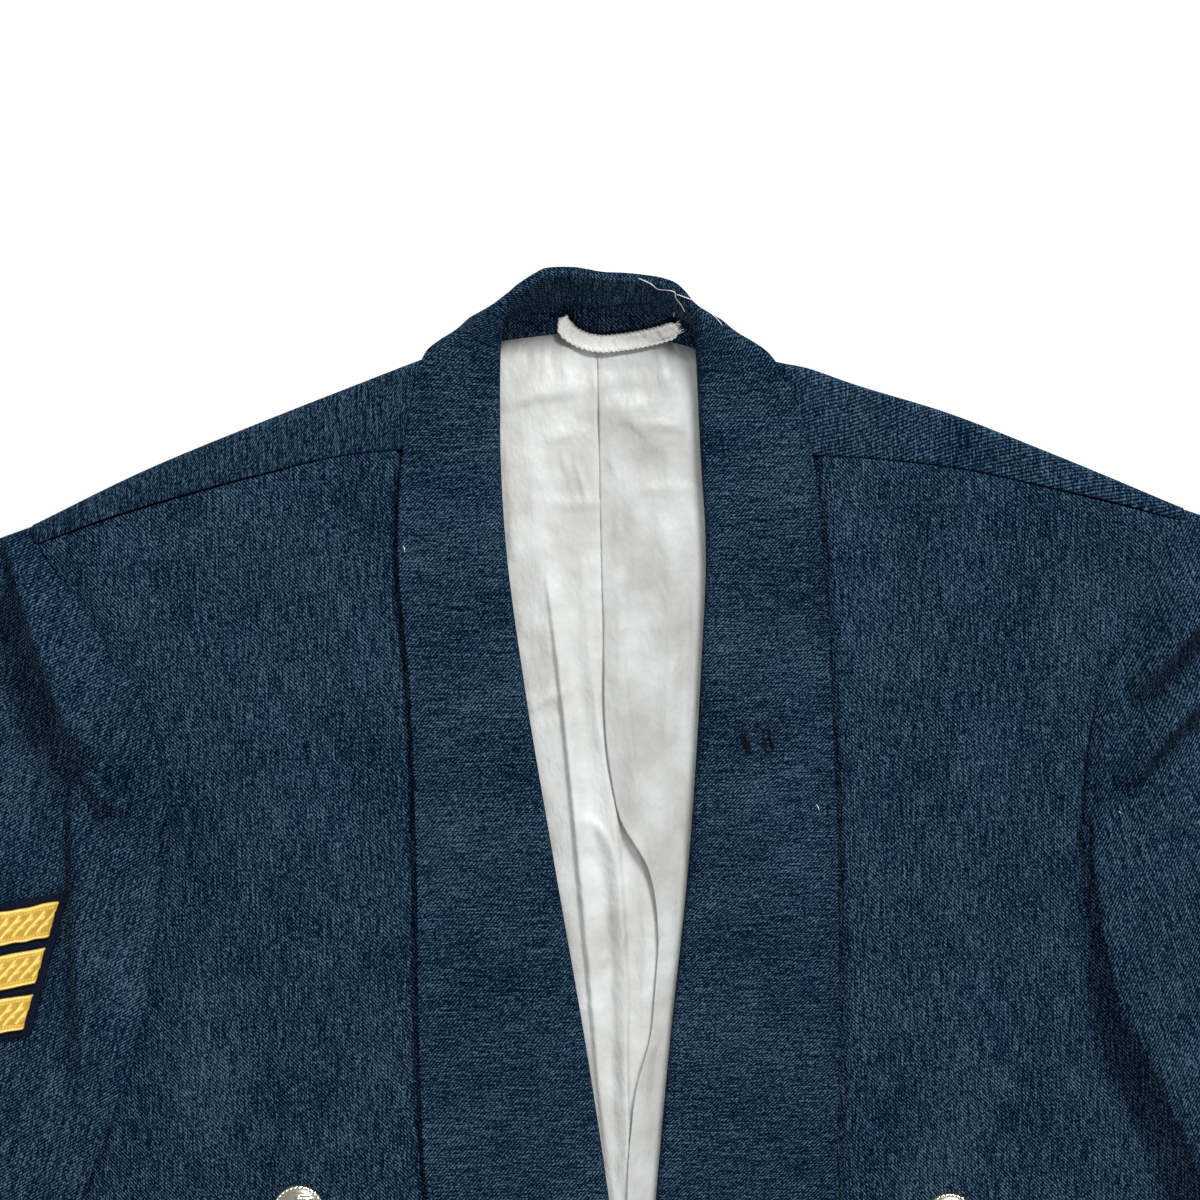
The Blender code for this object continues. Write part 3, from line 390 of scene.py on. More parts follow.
SLEEVE_CREASES = {
    RIGHT: (
        (8, 530, 46, 646, 92, 772, 9.5, 11.5, -0.66),
        (-40, 570, 8, 660, 56, 756, 9, -4.5, 0),
        (60, 700, 104, 738, 134, 792, 8, 3.5, 0.3),
        (72, 748, 82, 880, 86, 1130, 7.5, 7.5, -0.55),
        (55, 775, 60, 850, 62, 900, 6, -2.5, 0),
        (86, 768, 112, 800, 146, 802, 4.6, 7, 0.35),
        (92, 820, 120, 828, 148, 826, 3.6, -5, 0),
        (98, 852, 124, 856, 146, 852, 7, 3, 0),
        (-40, 800, -10, 850, 30, 880, 11, 3, 0),
        (-90, 1070, -20, 1090, 60, 1060, 16, 3, 0),
        (-80, 1180, 0, 1200, 70, 1150, 14, 2.5, 0),
        (-330, 640, -250, 700, -160, 810, 10, 4.5, 0.4),
        (-280, 760, -225, 850, -170, 950, 8, 3.6, -0.3),
        (-420, 1000, -330, 1040, -220, 1030, 8.5, 6, 0.5),
        (-430, 1130, -320, 1160, -190, 1200, 7.5, 5.5, 0.5),
        (-390, 1330, -290, 1330, -190, 1290, 8, 4.4, -0.4),
        (-50, 1330, -120, 1375, -210, 1375, 7, 4.8, 0.4),
        (-40, 1500, -110, 1520, -200, 1495, 7.5, 3.6, 0.3),
        (-250, 1450, -240, 1600, -210, 1760, 9, 3.4, 0.4),
        (-340, 1700, -260, 1735, -170, 1720, 7, 2.8, 0.3),
    ),
    LEFT: (
        (1222, 580, 1172, 642, 1118, 696, 6, 7.5, 0.3),
        (1222, 632, 1174, 672, 1126, 728, 4.8, -5, 0),
        (1222, 676, 1166, 726, 1106, 818, 7.4, 9.5, 0.45),
        (1222, 728, 1178, 776, 1142, 850, 10, -5, 0),
        (1150, 820, 1160, 900, 1176, 1000, 10, 3, 0),
        (1196, 880, 1200, 960, 1216, 1060, 9, -2.5, 0),
        (1290, 1050, 1230, 1080, 1160, 1030, 14, 3, 0),
        (1290, 1180, 1230, 1190, 1180, 1130, 12, 2.5, 0),
        (1540, 650, 1450, 720, 1370, 830, 10, 4.5, -0.4),
        (1470, 790, 1420, 870, 1380, 980, 8, 3.6, 0.3),
        (1620, 1020, 1530, 1060, 1430, 1040, 8.5, 6, -0.5),
        (1640, 1160, 1520, 1180, 1400, 1215, 7.5, 5.5, -0.5),
        (1590, 1350, 1490, 1340, 1390, 1310, 8, 4.4, 0.4),
        (1260, 1310, 1330, 1360, 1420, 1370, 7, 4.8, -0.4),
        (1250, 1480, 1320, 1505, 1400, 1490, 7.5, 3.6, -0.3),
        (1450, 1470, 1440, 1610, 1410, 1770, 9, 3.4, -0.4),
        (1540, 1720, 1460, 1745, 1370, 1735, 7, 2.8, -0.3),
    ),
}

# How far a sleeve's inner fold stands off what it lies on: y of the fold, height
SLEEVE_LIFT = {
    RIGHT: (
        *((-700, 0), (-540, 0), (-478, 7), (-400, 12), (-345, 10), (-305, 5), (-250, 1.5), (-205, 0)),
    ),
    LEFT: (
        *((-700, 0), (-540, 0), (-478, 7), (-400, 11), (-300, 11), (-265, 9), (-235, 4), (-213, 0)),
    ),
}

# The groove beside a lapel, and how far its edge stands off
LAPEL_GROOVE = 3.8
LAPEL_EDGE_LIFT = 1.7

# How far the facing runs on under the collar: x, distance
FACING_TURNED_UP = ((-43, 7), (-32, 5), (-20, 4.6), (0, 3.4), (18, 3.6), (30, 5), (41, 7))

# A front's points up and across, and how far it dips into its seams in its last rows
FRONT_GRID = (180, 132)
LAST_PLAIN_SHARE = 0.988
SEAM_SHARES = (0.992, 0.9955, 0.998, 1.0)
SEAM_DROPS = (0.12, 0.4, 1.0)
WRAP_DROPS = (0.1, 0.4, 1.0)
ARMHOLE_FROM_ROW = 100
FOLDS_START_PAST_LAPEL = (-14.0, 4.0)

# The sleeve's edge turned in at the armhole
ALLOWANCE = 5.0

# Folds: the step of the line that they follow, and how many half widths they reach
FOLD_STEP = 0.7
FOLD_REACH = 3.2
UNEVEN_WAVES = 9

# Pixels of the photo: the dark seam at the back neck, ends of white thread on the collar, white lint
NECK_SEAM = ((570, 302), (579, 304.5), (588, 307.8), (600, 307), (620, 304.8), (640, 304.4), (657, 304.8))
THREAD_ENDS = (
    ((638, 283), (645, 286), (651, 289), (657, 293), (665, 294), (673, 296), (675, 298)),
    ((674, 296), (675, 301), (679, 306), (682, 310), (684, 314)),
    ((675, 298), (684, 301), (696, 305), (706, 311), (714, 318), (722, 327)),
    ((674, 313), (674, 318), (676, 323), (675, 330)),
    ((679, 330), (683, 335), (682, 341)),
    ((671, 343), (670, 349), (668, 353)),
)
LINT = (
    ((816, 804), (818, 807), (819, 810)),
    ((1116, 810), (1117, 811), (1118, 812)),
    ((404, 546), (405, 549), (405, 552)),
)

LINING_PUFF = 1.4
SEAM_STEP = 0.5

LINING_FOLDS = {
    RIGHT: (
        (498, 412, 532, 398, 584, 393, 3.2, 1.5, -0.5),
        (560, 404, 580, 418, 594, 420, 4, -0.7, 0),
        (538, 443, 558, 438, 580, 436, 2, 0.7, -0.5),
        (561, 450, 565, 464, 572, 480, 1.4, 0.8, 0),
        (573, 457, 581, 480, 587, 504, 1.2, 0.9, 0),
        (552, 506, 578, 505, 604, 504, 2, 0.9, -0.3),
        (540, 494, 572, 492, 600, 491, 3.2, -0.6, 0),
        (518, 446, 536, 474, 554, 508, 4.2, 0.9, 0.2),
        (508, 440, 512, 510, 520, 590, 4.6, 1, 0),
        (541, 350, 536, 362, 529, 380, 2, 0.5, -0.3),
        (552, 350, 545, 366, 537, 388, 2, 0.5, -0.3),
        (523, 352, 518, 364, 512, 378, 2, 0.35, 0),
        (583, 352, 586, 380, 588, 410, 3, -0.9, 0),
        (560, 350, 566, 376, 570, 396, 2.4, 0.6, 0),
        (524, 540, 546, 576, 552, 640, 5, 0.9, 0),
        (528, 714, 547, 701, 572, 692, 2, 1.2, -0.5),
        (532, 726, 548, 716, 566, 710, 2.4, -0.7, 0),
        (546, 580, 571, 790, 610, 1220, 2.6, 2.8, -0.7),
        (582, 560, 594, 690, 612, 800, 2, 1, 0.3),
        (566, 640, 584, 740, 588, 830, 4, -0.9, 0),
        (578, 822, 600, 830, 616, 870, 2, 1.2, 0.2),
        (584, 850, 602, 880, 610, 930, 2.6, -0.8, 0),
        (598, 968, 612, 952, 626, 934, 1.8, 1.1, 0.3),
        (613, 790, 622, 900, 628, 1012, 3, 3.2, 0.7),
        (628, 1000, 627, 1080, 632, 1220, 2.8, 3, 0.7),
        (606, 900, 611, 990, 615, 1120, 2.4, -0.9, 0),
        (640, 850, 646, 940, 642, 1040, 2.4, 1, 0),
    ),
    LEFT: (
        (598, 416, 628, 406, 656, 412, 4.2, 1, -0.2),
        (600, 398, 624, 390, 646, 394, 3, -0.7, 0),
        (640, 425, 664, 426, 692, 432, 1.5, 1.1, -0.4),
        (600, 436, 630, 420, 658, 456, 4.4, 1.6, -0.5),
        (650, 446, 658, 466, 652, 486, 3.4, -0.9, 0),
        (676, 350, 687, 388, 700, 430, 3.6, -2, 0),
        (660, 350, 668, 380, 682, 410, 3.4, 1.3, 0),
        (690, 392, 694, 420, 690, 444, 2.8, -0.8, 0),
        (640, 492, 672, 489, 708, 490, 1.1, 0.6, -0.4),
        (600, 474, 650, 468, 700, 476, 6, -1, 0),
        (616, 490, 617, 520, 616, 550, 1.6, 0.7, 0),
        (630, 500, 636, 560, 630, 620, 3, 0.7, 0),
        (609, 455, 612, 465, 617, 476, 1.4, 0.8, 0),
        (618, 560, 629, 730, 658, 924, 4.2, 1.7, 0.6),
        (664, 510, 674, 620, 664, 760, 5, 1.2, 0),
        (684, 560, 686, 700, 676, 830, 3.6, -0.9, 0),
        (694, 520, 694, 660, 684, 800, 2.2, 0.9, 0),
        (640, 640, 654, 720, 652, 800, 4, -0.8, 0),
        (668, 846, 680, 844, 692, 850, 2, -0.9, 0),
        (668, 860, 672, 960, 662, 1060, 3, 1.2, 0),
        (682, 860, 680, 940, 672, 1010, 2, -0.8, 0),
        (668, 1024, 660, 1060, 652, 1104, 2.6, -1.1, 0),
        (650, 1060, 646, 1120, 640, 1200, 3, 1, 0),
        (626, 1024, 637, 1036, 648, 1048, 1.6, 1.2, 0.3),
    ),
}


def shares_along(points):
    """How far along the way through the given points each one is in plan, from 0 to 1."""
    steps = np.linalg.norm(np.diff(points[:, :2], axis=0), axis=1)
    return np.concatenate([[0], np.cumsum(steps)]) / steps.sum()


def spline(rows, at):
    """Columns 1 onwards of the rows at each value of column 0, on a smooth curve through the rows."""
    rows = np.array(rows, float)
    rows = rows[np.argsort(rows[:, 0])]
    keys, values = rows[:, 0], rows[:, 1:]
    at = np.clip(np.asarray(at, float), keys[0], keys[-1])
    slopes = np.gradient(values, keys, axis=0)
    low = np.clip(np.searchsorted(keys, at, side="right") - 1, 0, len(keys) - 2)
    step = (keys[low + 1] - keys[low])[..., None]
    f = (at - keys[low])[..., None] / step
    h01 = f * f * (3 - 2 * f)
    return (
        (1 - h01) * values[low]
        + h01 * values[low + 1]
        + f * (1 - f) ** 2 * step * slopes[low]
        - f * f * (1 - f) * step * slopes[low + 1]
    )


def along(points, at):
    """Points at shares 0 to 1 of the way along a smooth curve through the given points."""
    points = np.array(points, float)
    return spline(np.column_stack([shares_along(points), points]), at)


def by_index(rows, at):
    """The rows' columns at places between whole row numbers."""
    return spline(np.column_stack([np.arange(len(rows)), rows]), at)


def evenly(shares, count):
    """As many values as the count, on straight lines through the given shares."""
    return np.interp(np.linspace(0, 1, count), np.linspace(0, 1, len(shares)), shares)


def ease(value, start, end):
    """0 before start and 1 after end, with a soft turn at both."""
    f = np.clip((np.asarray(value, float) - start) / (end - start), 0, 1)
    return f * f * (3 - 2 * f)


def bell(value, middle, width):
    """1 at the middle, falling softly to both sides."""
    return np.exp(-(((value - middle) / width) ** 2))


def bent_line(start, middle, end, count):
    """Points on a bent line through three places, and the share of the way at each."""
    start, middle, end = (np.asarray(corner, float) for corner in (start, middle, end))
    t = np.linspace(0, 1, count)[:, None]
    bend = 2 * middle - (start + end) / 2
    return (1 - t) ** 2 * start + 2 * t * (1 - t) * bend + t * t * end, t[:, 0]


def turned(vector, angle):
    cos, sin = math.cos(angle), math.sin(angle)
    return np.array((vector[0] * cos - vector[1] * sin, vector[0] * sin + vector[1] * cos))


def outward(side, x):
    return SIGN[side] * np.asarray(x, float)


def side_of(x):
    return LEFT if x > 0 else RIGHT


def photo_point(u, v):
    """The place in the jacket's frame of a pixel of the photo."""
    dx, dy = (u - PHOTO_ORIGIN[0]) * PHOTO_SCALE, (PHOTO_ORIGIN[1] - v) * PHOTO_SCALE
    cos, sin = math.cos(PHOTO_TURN), math.sin(PHOTO_TURN)
    return np.array((dx * cos + dy * sin, -dx * sin + dy * cos))


def photo_path(pixels, count):
    """Places on a smooth curve through pixels of the photo."""
    flat = np.array([photo_point(u, v) for u, v in pixels])
    return along(flat, np.linspace(0, 1, count))


def frame_shift():
    """From the jacket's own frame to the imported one, read off a button."""
    low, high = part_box("button_left_1")
    middle = (np.array(low) + np.array(high)) / 2
    return np.array((middle[0] - BUTTON_LEFT_1[0] * METRES, middle[1] - BUTTON_LEFT_1[1] * METRES, 0.0))


SHIFT = frame_shift()


def quads(rows, columns, around=False, first=0):
    """The faces of a grid whose points are numbered row by row from first. Around joins its two sides."""
    index = np.arange(rows * columns).reshape(rows, columns) + first
    if around:
        index = np.concatenate([index, index[:, :1]], axis=1)
    return np.stack([index[:-1, :-1], index[:-1, 1:], index[1:, 1:], index[1:, :-1]], axis=-1).reshape(-1, 4)


def surface_of(grid, around=False):
    """A grid as a tree that tells its height at any x, y."""
    faces = []
    for a, b, c, d in quads(*grid.shape[:2], around).tolist():
        faces += [(a, b, c), (a, c, d)]
    return BVHTree.FromPolygons([tuple(p) for p in grid.reshape(-1, 3)], faces)


def height_on(tree, x, y):
    """The height of the tree's upper face at a place, or 0 beside it."""
    hit = tree.ray_cast(Vector((x, y, LOOK_DOWN_FROM)), Vector((0, 0, -1)))[0]
    return hit.z if hit else 0.0


def height_near(tree, x, y, reach):
    """The greatest height on and close round a place, so that what lies there is clear of folds."""
    steps = (-reach, 0.0, reach)
    return max(height_on(tree, x + dx, y + dy) for dx in steps for dy in steps)


def relief(table, x, y):
    """The height that a table of folds adds at each x, y."""
    x, y = np.asarray(x, float), np.asarray(y, float)
    total = np.zeros(x.shape)
    for u0, v0, u1, v1, u2, v2, half_width, height, lean in table:
        start, middle, end = photo_point(u0, v0), photo_point(u1, v1), photo_point(u2, v2)
        length = np.linalg.norm(middle - start) + np.linalg.norm(end - middle)
        line, t = bent_line(start, middle, end, int(length / FOLD_STEP) + 12)
        reach = FOLD_REACH * half_width * (1 + abs(lean))
        low, high = line.min(axis=0) - reach, line.max(axis=0) + reach
        near = (x > low[0]) & (x < high[0]) & (y > low[1]) & (y < high[1])
        if not near.any():
            continue
        px, py = x[near], y[near]
        way = np.gradient(line, axis=0)
        way /= np.linalg.norm(way, axis=1)[:, None]
        nearest = np.hypot(px[:, None] - line[:, 0], py[:, None] - line[:, 1]).argmin(axis=1)
        to_x, to_y = px - line[nearest, 0], py - line[nearest, 1]
        to_right = to_x * way[nearest, 1] - to_y * way[nearest, 0]
        width = half_width * np.where(to_right > 0, 1 + lean, 1 - lean)
        fade = np.sin(np.pi * np.clip(t[nearest], 0.02, 0.98)) ** 0.6
        total[near] += height * fade * bell(np.hypot(to_x, to_y), 0, width)
    return total


def unevenness(x, y, size, seed):
    """A soft uneven surface, from -1 to 1: a few waves of about the given size, laid across each other."""
    rng = np.random.default_rng(seed)
    total = np.zeros(np.shape(x))
    for _ in range(UNEVEN_WAVES):
        angle, phase = rng.uniform(0, math.tau), rng.uniform(0, math.tau)
        length = size * rng.uniform(0.7, 1.6)
        total += np.sin((x * math.cos(angle) + y * math.sin(angle)) * math.tau / length + phase)
    return total / (UNEVEN_WAVES / 2)


def cloth_lengths(grid):
    """Each point's place on the flat cloth: how far it is across its row and along its column."""
    across = np.linalg.norm(np.diff(grid, axis=1), axis=2)
    across = np.concatenate([np.zeros((len(grid), 1)), np.cumsum(across, axis=1)], axis=1)
    middle = grid.shape[1] // 2
    across -= across[:, middle : middle + 1]
    steps = np.linalg.norm(np.diff(grid[:, middle], axis=0), axis=1)
    down = np.concatenate([[0], np.cumsum(steps)])
    return np.stack([across, np.repeat(down[:, None], grid.shape[1], axis=1)], axis=2)


def area_of(grid, around):
    """The surface of a grid, in square millimetres."""
    if around:
        grid = np.concatenate([grid, grid[:, :1]], axis=1)
    a, b, c, d = grid[:-1, :-1], grid[:-1, 1:], grid[1:, 1:], grid[1:, :-1]
    return 0.5 * np.linalg.norm(np.cross(c - a, d - b), axis=2).sum()


def merge_points(mesh, distance, outwards=False):
    """Joins points that lie at the same place. Outwards also turns every face outwards."""
    bm = bmesh.new()
    bm.from_mesh(mesh)
    bmesh.ops.remove_doubles(bm, verts=bm.verts, dist=distance)
    if outwards:
        bmesh.ops.recalc_face_normals(bm, faces=bm.faces)
    bm.to_mesh(mesh)
    bm.free()


def add_piece(mesh, finish):
    """The object of a mesh, smooth, in one finish and on the jacket's one body."""
    mesh.shade_smooth()
    mesh.materials.append(finish)
    made = bpy.data.objects.new(mesh.name, mesh)
    bpy.context.scene.collection.objects.link(made)
    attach(made, "root")
    return made


def cloth(
    name, grids, wall, finish, node, flats=None, around=False, flipped=False, rests_on=(), flat_size=None
):
    """A thin shell under the grids' points that stands for a CAD node.

    Flats hold each point's place on the flat cloth. The piece is declared as cut to their spread, or to
    The size of their spread, or flat_size, and the piece's area are worked out, and nothing more is done with
    them.
    """
    points, faces, places, total = [], [], [], 0
    for number, grid in enumerate(grids):
        points.append(grid.reshape(-1, 3))
        places.append(np.asarray(flats[number] if flats else grid[..., :2]).reshape(-1, 2))
        corners = quads(*grid.shape[:2], around, total)
        faces.append(corners[:, ::-1] if flipped else corners)
        total += len(points[-1])
    places = np.concatenate(places) * METRES
    mesh = bpy.data.meshes.new(name)
    mesh.from_pydata((np.concatenate(points) * METRES + SHIFT).tolist(), [], np.concatenate(faces).tolist())
    attribute = mesh.attributes.new("cloth", "FLOAT_VECTOR", "POINT")
    attribute.data.foreach_set("vector", np.column_stack([places, np.zeros(len(places))]).ravel())
    if len(grids) > 1:
        merge_points(mesh, MERGE * METRES)
    made = add_piece(mesh, finish)
    solid = made.modifiers.new("Wall", "SOLIDIFY")
    solid.thickness = wall * METRES
    solid.offset = -1.0
    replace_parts(made, node)
    flat_size = (np.ptp(places, axis=0) / METRES if flat_size is None else np.array(flat_size)) * METRES
    area = sum(area_of(grid, around) for grid in grids) * METRES**2
    min(area, flat_size.prod())
    return made


def tubes(name, lines, radius, finish, sides=5, tip=1.0):
    """Threads along the given lines, one mesh: tip is their thickness at the ends, as a share."""
    points, faces = [], []
    for line in lines:
        line = np.asarray(line, float)
        way = np.gradient(line, axis=0)
        way /= np.maximum(np.linalg.norm(way, axis=1), 1e-9)[:, None]
        side_way = np.cross(way, (0.0, 0.0, 1.0))
        upright = np.linalg.norm(side_way, axis=1) < 0.05
        side_way[upright] = (1.0, 0.0, 0.0)
        side_way /= np.linalg.norm(side_way, axis=1)[:, None]
        up_way = np.cross(side_way, way)
        thick = radius * (tip + (1 - tip) * np.sin(np.pi * np.linspace(0, 1, len(line))) ** 0.5)
        base = len(points)
        for i, centre in enumerate(line):
            for j in range(sides):
                angle = math.tau * j / sides
                offset = side_way[i] * math.cos(angle) + up_way[i] * math.sin(angle)
                points.append((centre + offset * thick[i]) * METRES + SHIFT)
        faces += quads(len(line), sides, True, base)[:, TURN_OVER].tolist()
        faces.append(list(range(base, base + sides)))
        faces.append(list(range(len(points) - sides, len(points)))[::-1])
    mesh = bpy.data.meshes.new(name)
    mesh.from_pydata([tuple(p) for p in points], [], faces)
    return add_piece(mesh, finish)


class Nodes:
    """Short ways to lay out a material's nodes."""

    def __init__(self, name):
        self.material = bpy.data.materials.new(name)
        self.material.use_nodes = True
        self.tree = self.material.node_tree
        self.shader = self.tree.nodes["Principled BSDF"]

    def add(self, kind, inputs=None, **settings):
        node = self.tree.nodes.new(kind)
        for key, value in settings.items():
            setattr(node, key, value)
        for key, value in (inputs or {}).items():
            if isinstance(value, bpy.types.NodeSocket):
                self.tree.links.new(value, node.inputs[key])
            else:
                node.inputs[key].default_value = value
        return node

    def set(self, **values):
        for key, value in values.items():
            self.shader.inputs[key.replace("_", " ")].default_value = value

    def link(self, output, key):
        self.tree.links.new(output, self.shader.inputs[key])

    def math(self, operation, a, b):
        return self.add("ShaderNodeMath", {0: a, 1: b}, operation=operation).outputs[0]

    def vector(self, operation, a, b):
        return self.add("ShaderNodeVectorMath", {0: a, 1: b}, operation=operation).outputs[0]

    def cloth_place(self, scale):
        """The place on the flat cloth, in units of each scale's millimetres."""
        place = self.add("ShaderNodeAttribute", attribute_name="cloth").outputs["Vector"]
        return self.vector("MULTIPLY", place, (*(1 / (s * METRES) for s in scale), 1.0))

    def noise(self, where, detail=2.0, rough=0.5):
        inputs = {"Vector": where, "Scale": 1.0, "Detail": detail, "Roughness": rough}
        return self.add("ShaderNodeTexNoise", inputs).outputs["Fac"]

    def ramp(self, value, stops):
        node = self.add("ShaderNodeValToRGB", {"Fac": value})
        elements = node.color_ramp.elements
        while len(elements) < len(stops):
            elements.new(0.5)
        for element, (position, colour) in zip(elements, stops):
            element.position = position
            element.color = (*colour, 1.0)
        return node.outputs["Color"]

    def bump(self, height, strength, distance):
        node = self.add("ShaderNodeBump", {"Height": height, "Strength": strength, "Distance": distance})
        self.link(node.outputs["Normal"], "Normal")


def wool(name, across=False, seed=0.0):
    """Blue-grey worsted twill of mixed dark and light fibres. Across turns its warp by 90 degrees."""
    made = Nodes(name)

    def at(width, length):
        where = made.cloth_place((length, width) if across else (width, length))
        return made.vector("ADD", where, (seed, seed, seed))

    fibres = made.noise(at(0.64, 0.98), 1.0, 0.6)
    streaks = made.noise(at(0.8, 14.0), 2.0, 0.6)
    flecks = made.noise(at(0.78, 2.5), 0.0)
    clouds = made.noise(at(30.0, 55.0), 2.0, 0.5)
    wales = made.add(
        "ShaderNodeTexWave",
        {"Vector": at(1.0, 1.0), "Scale": 0.42, "Distortion": 1.3, "Detail": 1.0, "Detail Scale": 1.6},
        bands_direction="DIAGONAL",
    ).outputs["Fac"]
    value = made.math("MULTIPLY", fibres, 0.62)
    for part, share in ((streaks, 0.4), (wales, 0.16), (clouds, 0.13), (flecks, 0.22)):
        value = made.math("ADD", value, made.math("MULTIPLY", part, share))
    tint = made.ramp(made.noise(at(44.0, 70.0), 1.0), WOOL_TINTS)
    made.link(made.vector("MULTIPLY", made.ramp(value, WOOL_TONES), tint), "Base Color")
    made.set(Roughness=0.9, Specular_IOR_Level=0.015, Sheen_Weight=0.008, Sheen_Roughness=0.4)
    made.set(Sheen_Tint=(0.5, 0.65, 0.85, 1.0))
    height = made.math("ADD", made.math("MULTIPLY", fibres, 0.6), made.math("MULTIPLY", wales, 0.4))
    made.bump(height, 0.6, 0.0005)
    return made.material


def satin(name, painted_shade):
    """White satin lining with faint yarns and small puckers, lighter and darker in random patches of painted
    shade.

    The given factor darkens the whole colour: painted shade for the different sheen of each half of the
    lining.
    """
    made = Nodes(name)
    yarns = made.noise(made.cloth_place((0.3, 3.0)), 1.0)
    puckers = made.noise(made.cloth_place((9.0, 16.0)), 3.0, 0.55)
    # Soft random patches, lighter and darker: painted shade that stands for the lining's broad soft shading
    shade_patches = made.noise(made.cloth_place((22.0, 34.0)), 2.0, 0.5)
    low, high = (tuple(c * painted_shade for c in colour) for colour in SATIN_TONES)
    made.link(made.ramp(shade_patches, [(0.3, low), (0.7, high)]), "Base Color")
    made.set(Roughness=0.5, Specular_IOR_Level=0.38, Sheen_Weight=0.05)
    made.bump(made.math("ADD", made.math("MULTIPLY", yarns, 0.05), puckers), 0.7, 0.0022)
    return made.material


def plain(name, colour, roughness, grain, metallic=0.0, spread=0.25, bump=0.3, shine=0.5):
    """A finish whose colour varies a little over the given grain, in millimetres."""
    made = Nodes(name)
    where = made.add("ShaderNodeTexCoord").outputs["Object"]
    scaled = made.add("ShaderNodeVectorMath", {0: where, 3: 1 / (grain * METRES)}, operation="SCALE")
    noise = made.noise(scaled.outputs[0], 2.0)
    low, high = (tuple(c * f for c in colour) for f in (1 - spread, 1 + spread))
    made.link(made.ramp(noise, [(0.3, low), (0.7, high)]), "Base Color")
    made.set(Roughness=roughness, Metallic=metallic, Specular_IOR_Level=shine)
    made.bump(noise, bump, 0.0003)
    return made.material


def lace_finish(name):
    """Gold lace: the third number of the cloth attribute is how far a place stands out of the weave.

    The colour follows it: darker where the weave lies low, painted shade in its hollows, and lighter where it
    stands out, a painted highlight.
    """
    made = Nodes(name)
    place = made.add("ShaderNodeAttribute", attribute_name="cloth").outputs["Vector"]
    raised = made.add("ShaderNodeSeparateXYZ", {0: place}).outputs["Z"]
    wires = made.noise(made.cloth_place((0.28, 0.9)), 1.0)
    value = made.math("ADD", raised, made.math("MULTIPLY", wires, 0.3))
    made.link(made.ramp(value, LACE_SHADE_TONES), "Base Color")
    made.set(Roughness=0.42, Metallic=0.3, Specular_IOR_Level=0.5)
    made.bump(wires, 0.5, 0.0003)
    return made.material


def front_top(side, x, y):
    """Height of a front's upper face, which rises to the roll line and over the shoulder pad."""
    out = outward(side, x)
    roll = spline(LAPEL[side], y)[..., 0]
    at_roll = ease(roll - out, -FRONT_RISE[0], -FRONT_RISE[1])
    pad = np.exp(-(((out - PAD_OUT) / PAD_REACH) ** 2) - ((np.asarray(y) - PAD_Y) / PAD_REACH) ** 2)
    return FRONT_FLAT + (FRONT_AT_ROLL - FRONT_FLAT) * at_roll + SHOULDER_PAD * pad


def shoulder_height(side, out):
    seam = spline(SHOULDER[side], out)[..., 1]
    return front_top(side, SIGN[side] * np.asarray(out, float), seam)


def side_points(side):
    return [(out, y) for y, out in SIDE[side]]


def fold_reach(side, out):
    """How far in y the round fold over the shoulder reaches, never as far as the seam."""
    fold, seam = spline(SHOULDER[side], out)
    return min(float(shoulder_height(side, out)) / 2, fold - seam - STRIP_LEAST)


def flat_end(side, out):
    """Where the back leaves the floor to wrap over the shoulder."""
    return float(spline(SHOULDER[side], out)[0]) - fold_reach(side, out)


def patch(bottom, top, start, end, v):
    """A grid between four edges: bottom and top run across, start and end run up, and v is how far up."""
    u = np.linspace(0, 1, len(bottom))[None, :, None]
    v = np.asarray(v, float)[:, None, None]
    ruled = (1 - v) * bottom[None] + v * top[None] + (1 - u) * start[:, None] + u * end[:, None]
    corners = (1 - v) * ((1 - u) * bottom[0] + u * bottom[-1]) + v * ((1 - u) * top[0] + u * top[-1])
    return ruled - corners


def edge_between(first, last, u, shape):
    """An edge from the first to the last place, at shares u, that follows shape(out) in between."""
    out = first[0] + (last[0] - first[0]) * u
    edge = np.column_stack([out, shape(out)])
    return edge + (first - edge[0]) * (1 - u)[:, None] + (last - edge[-1]) * u[:, None]


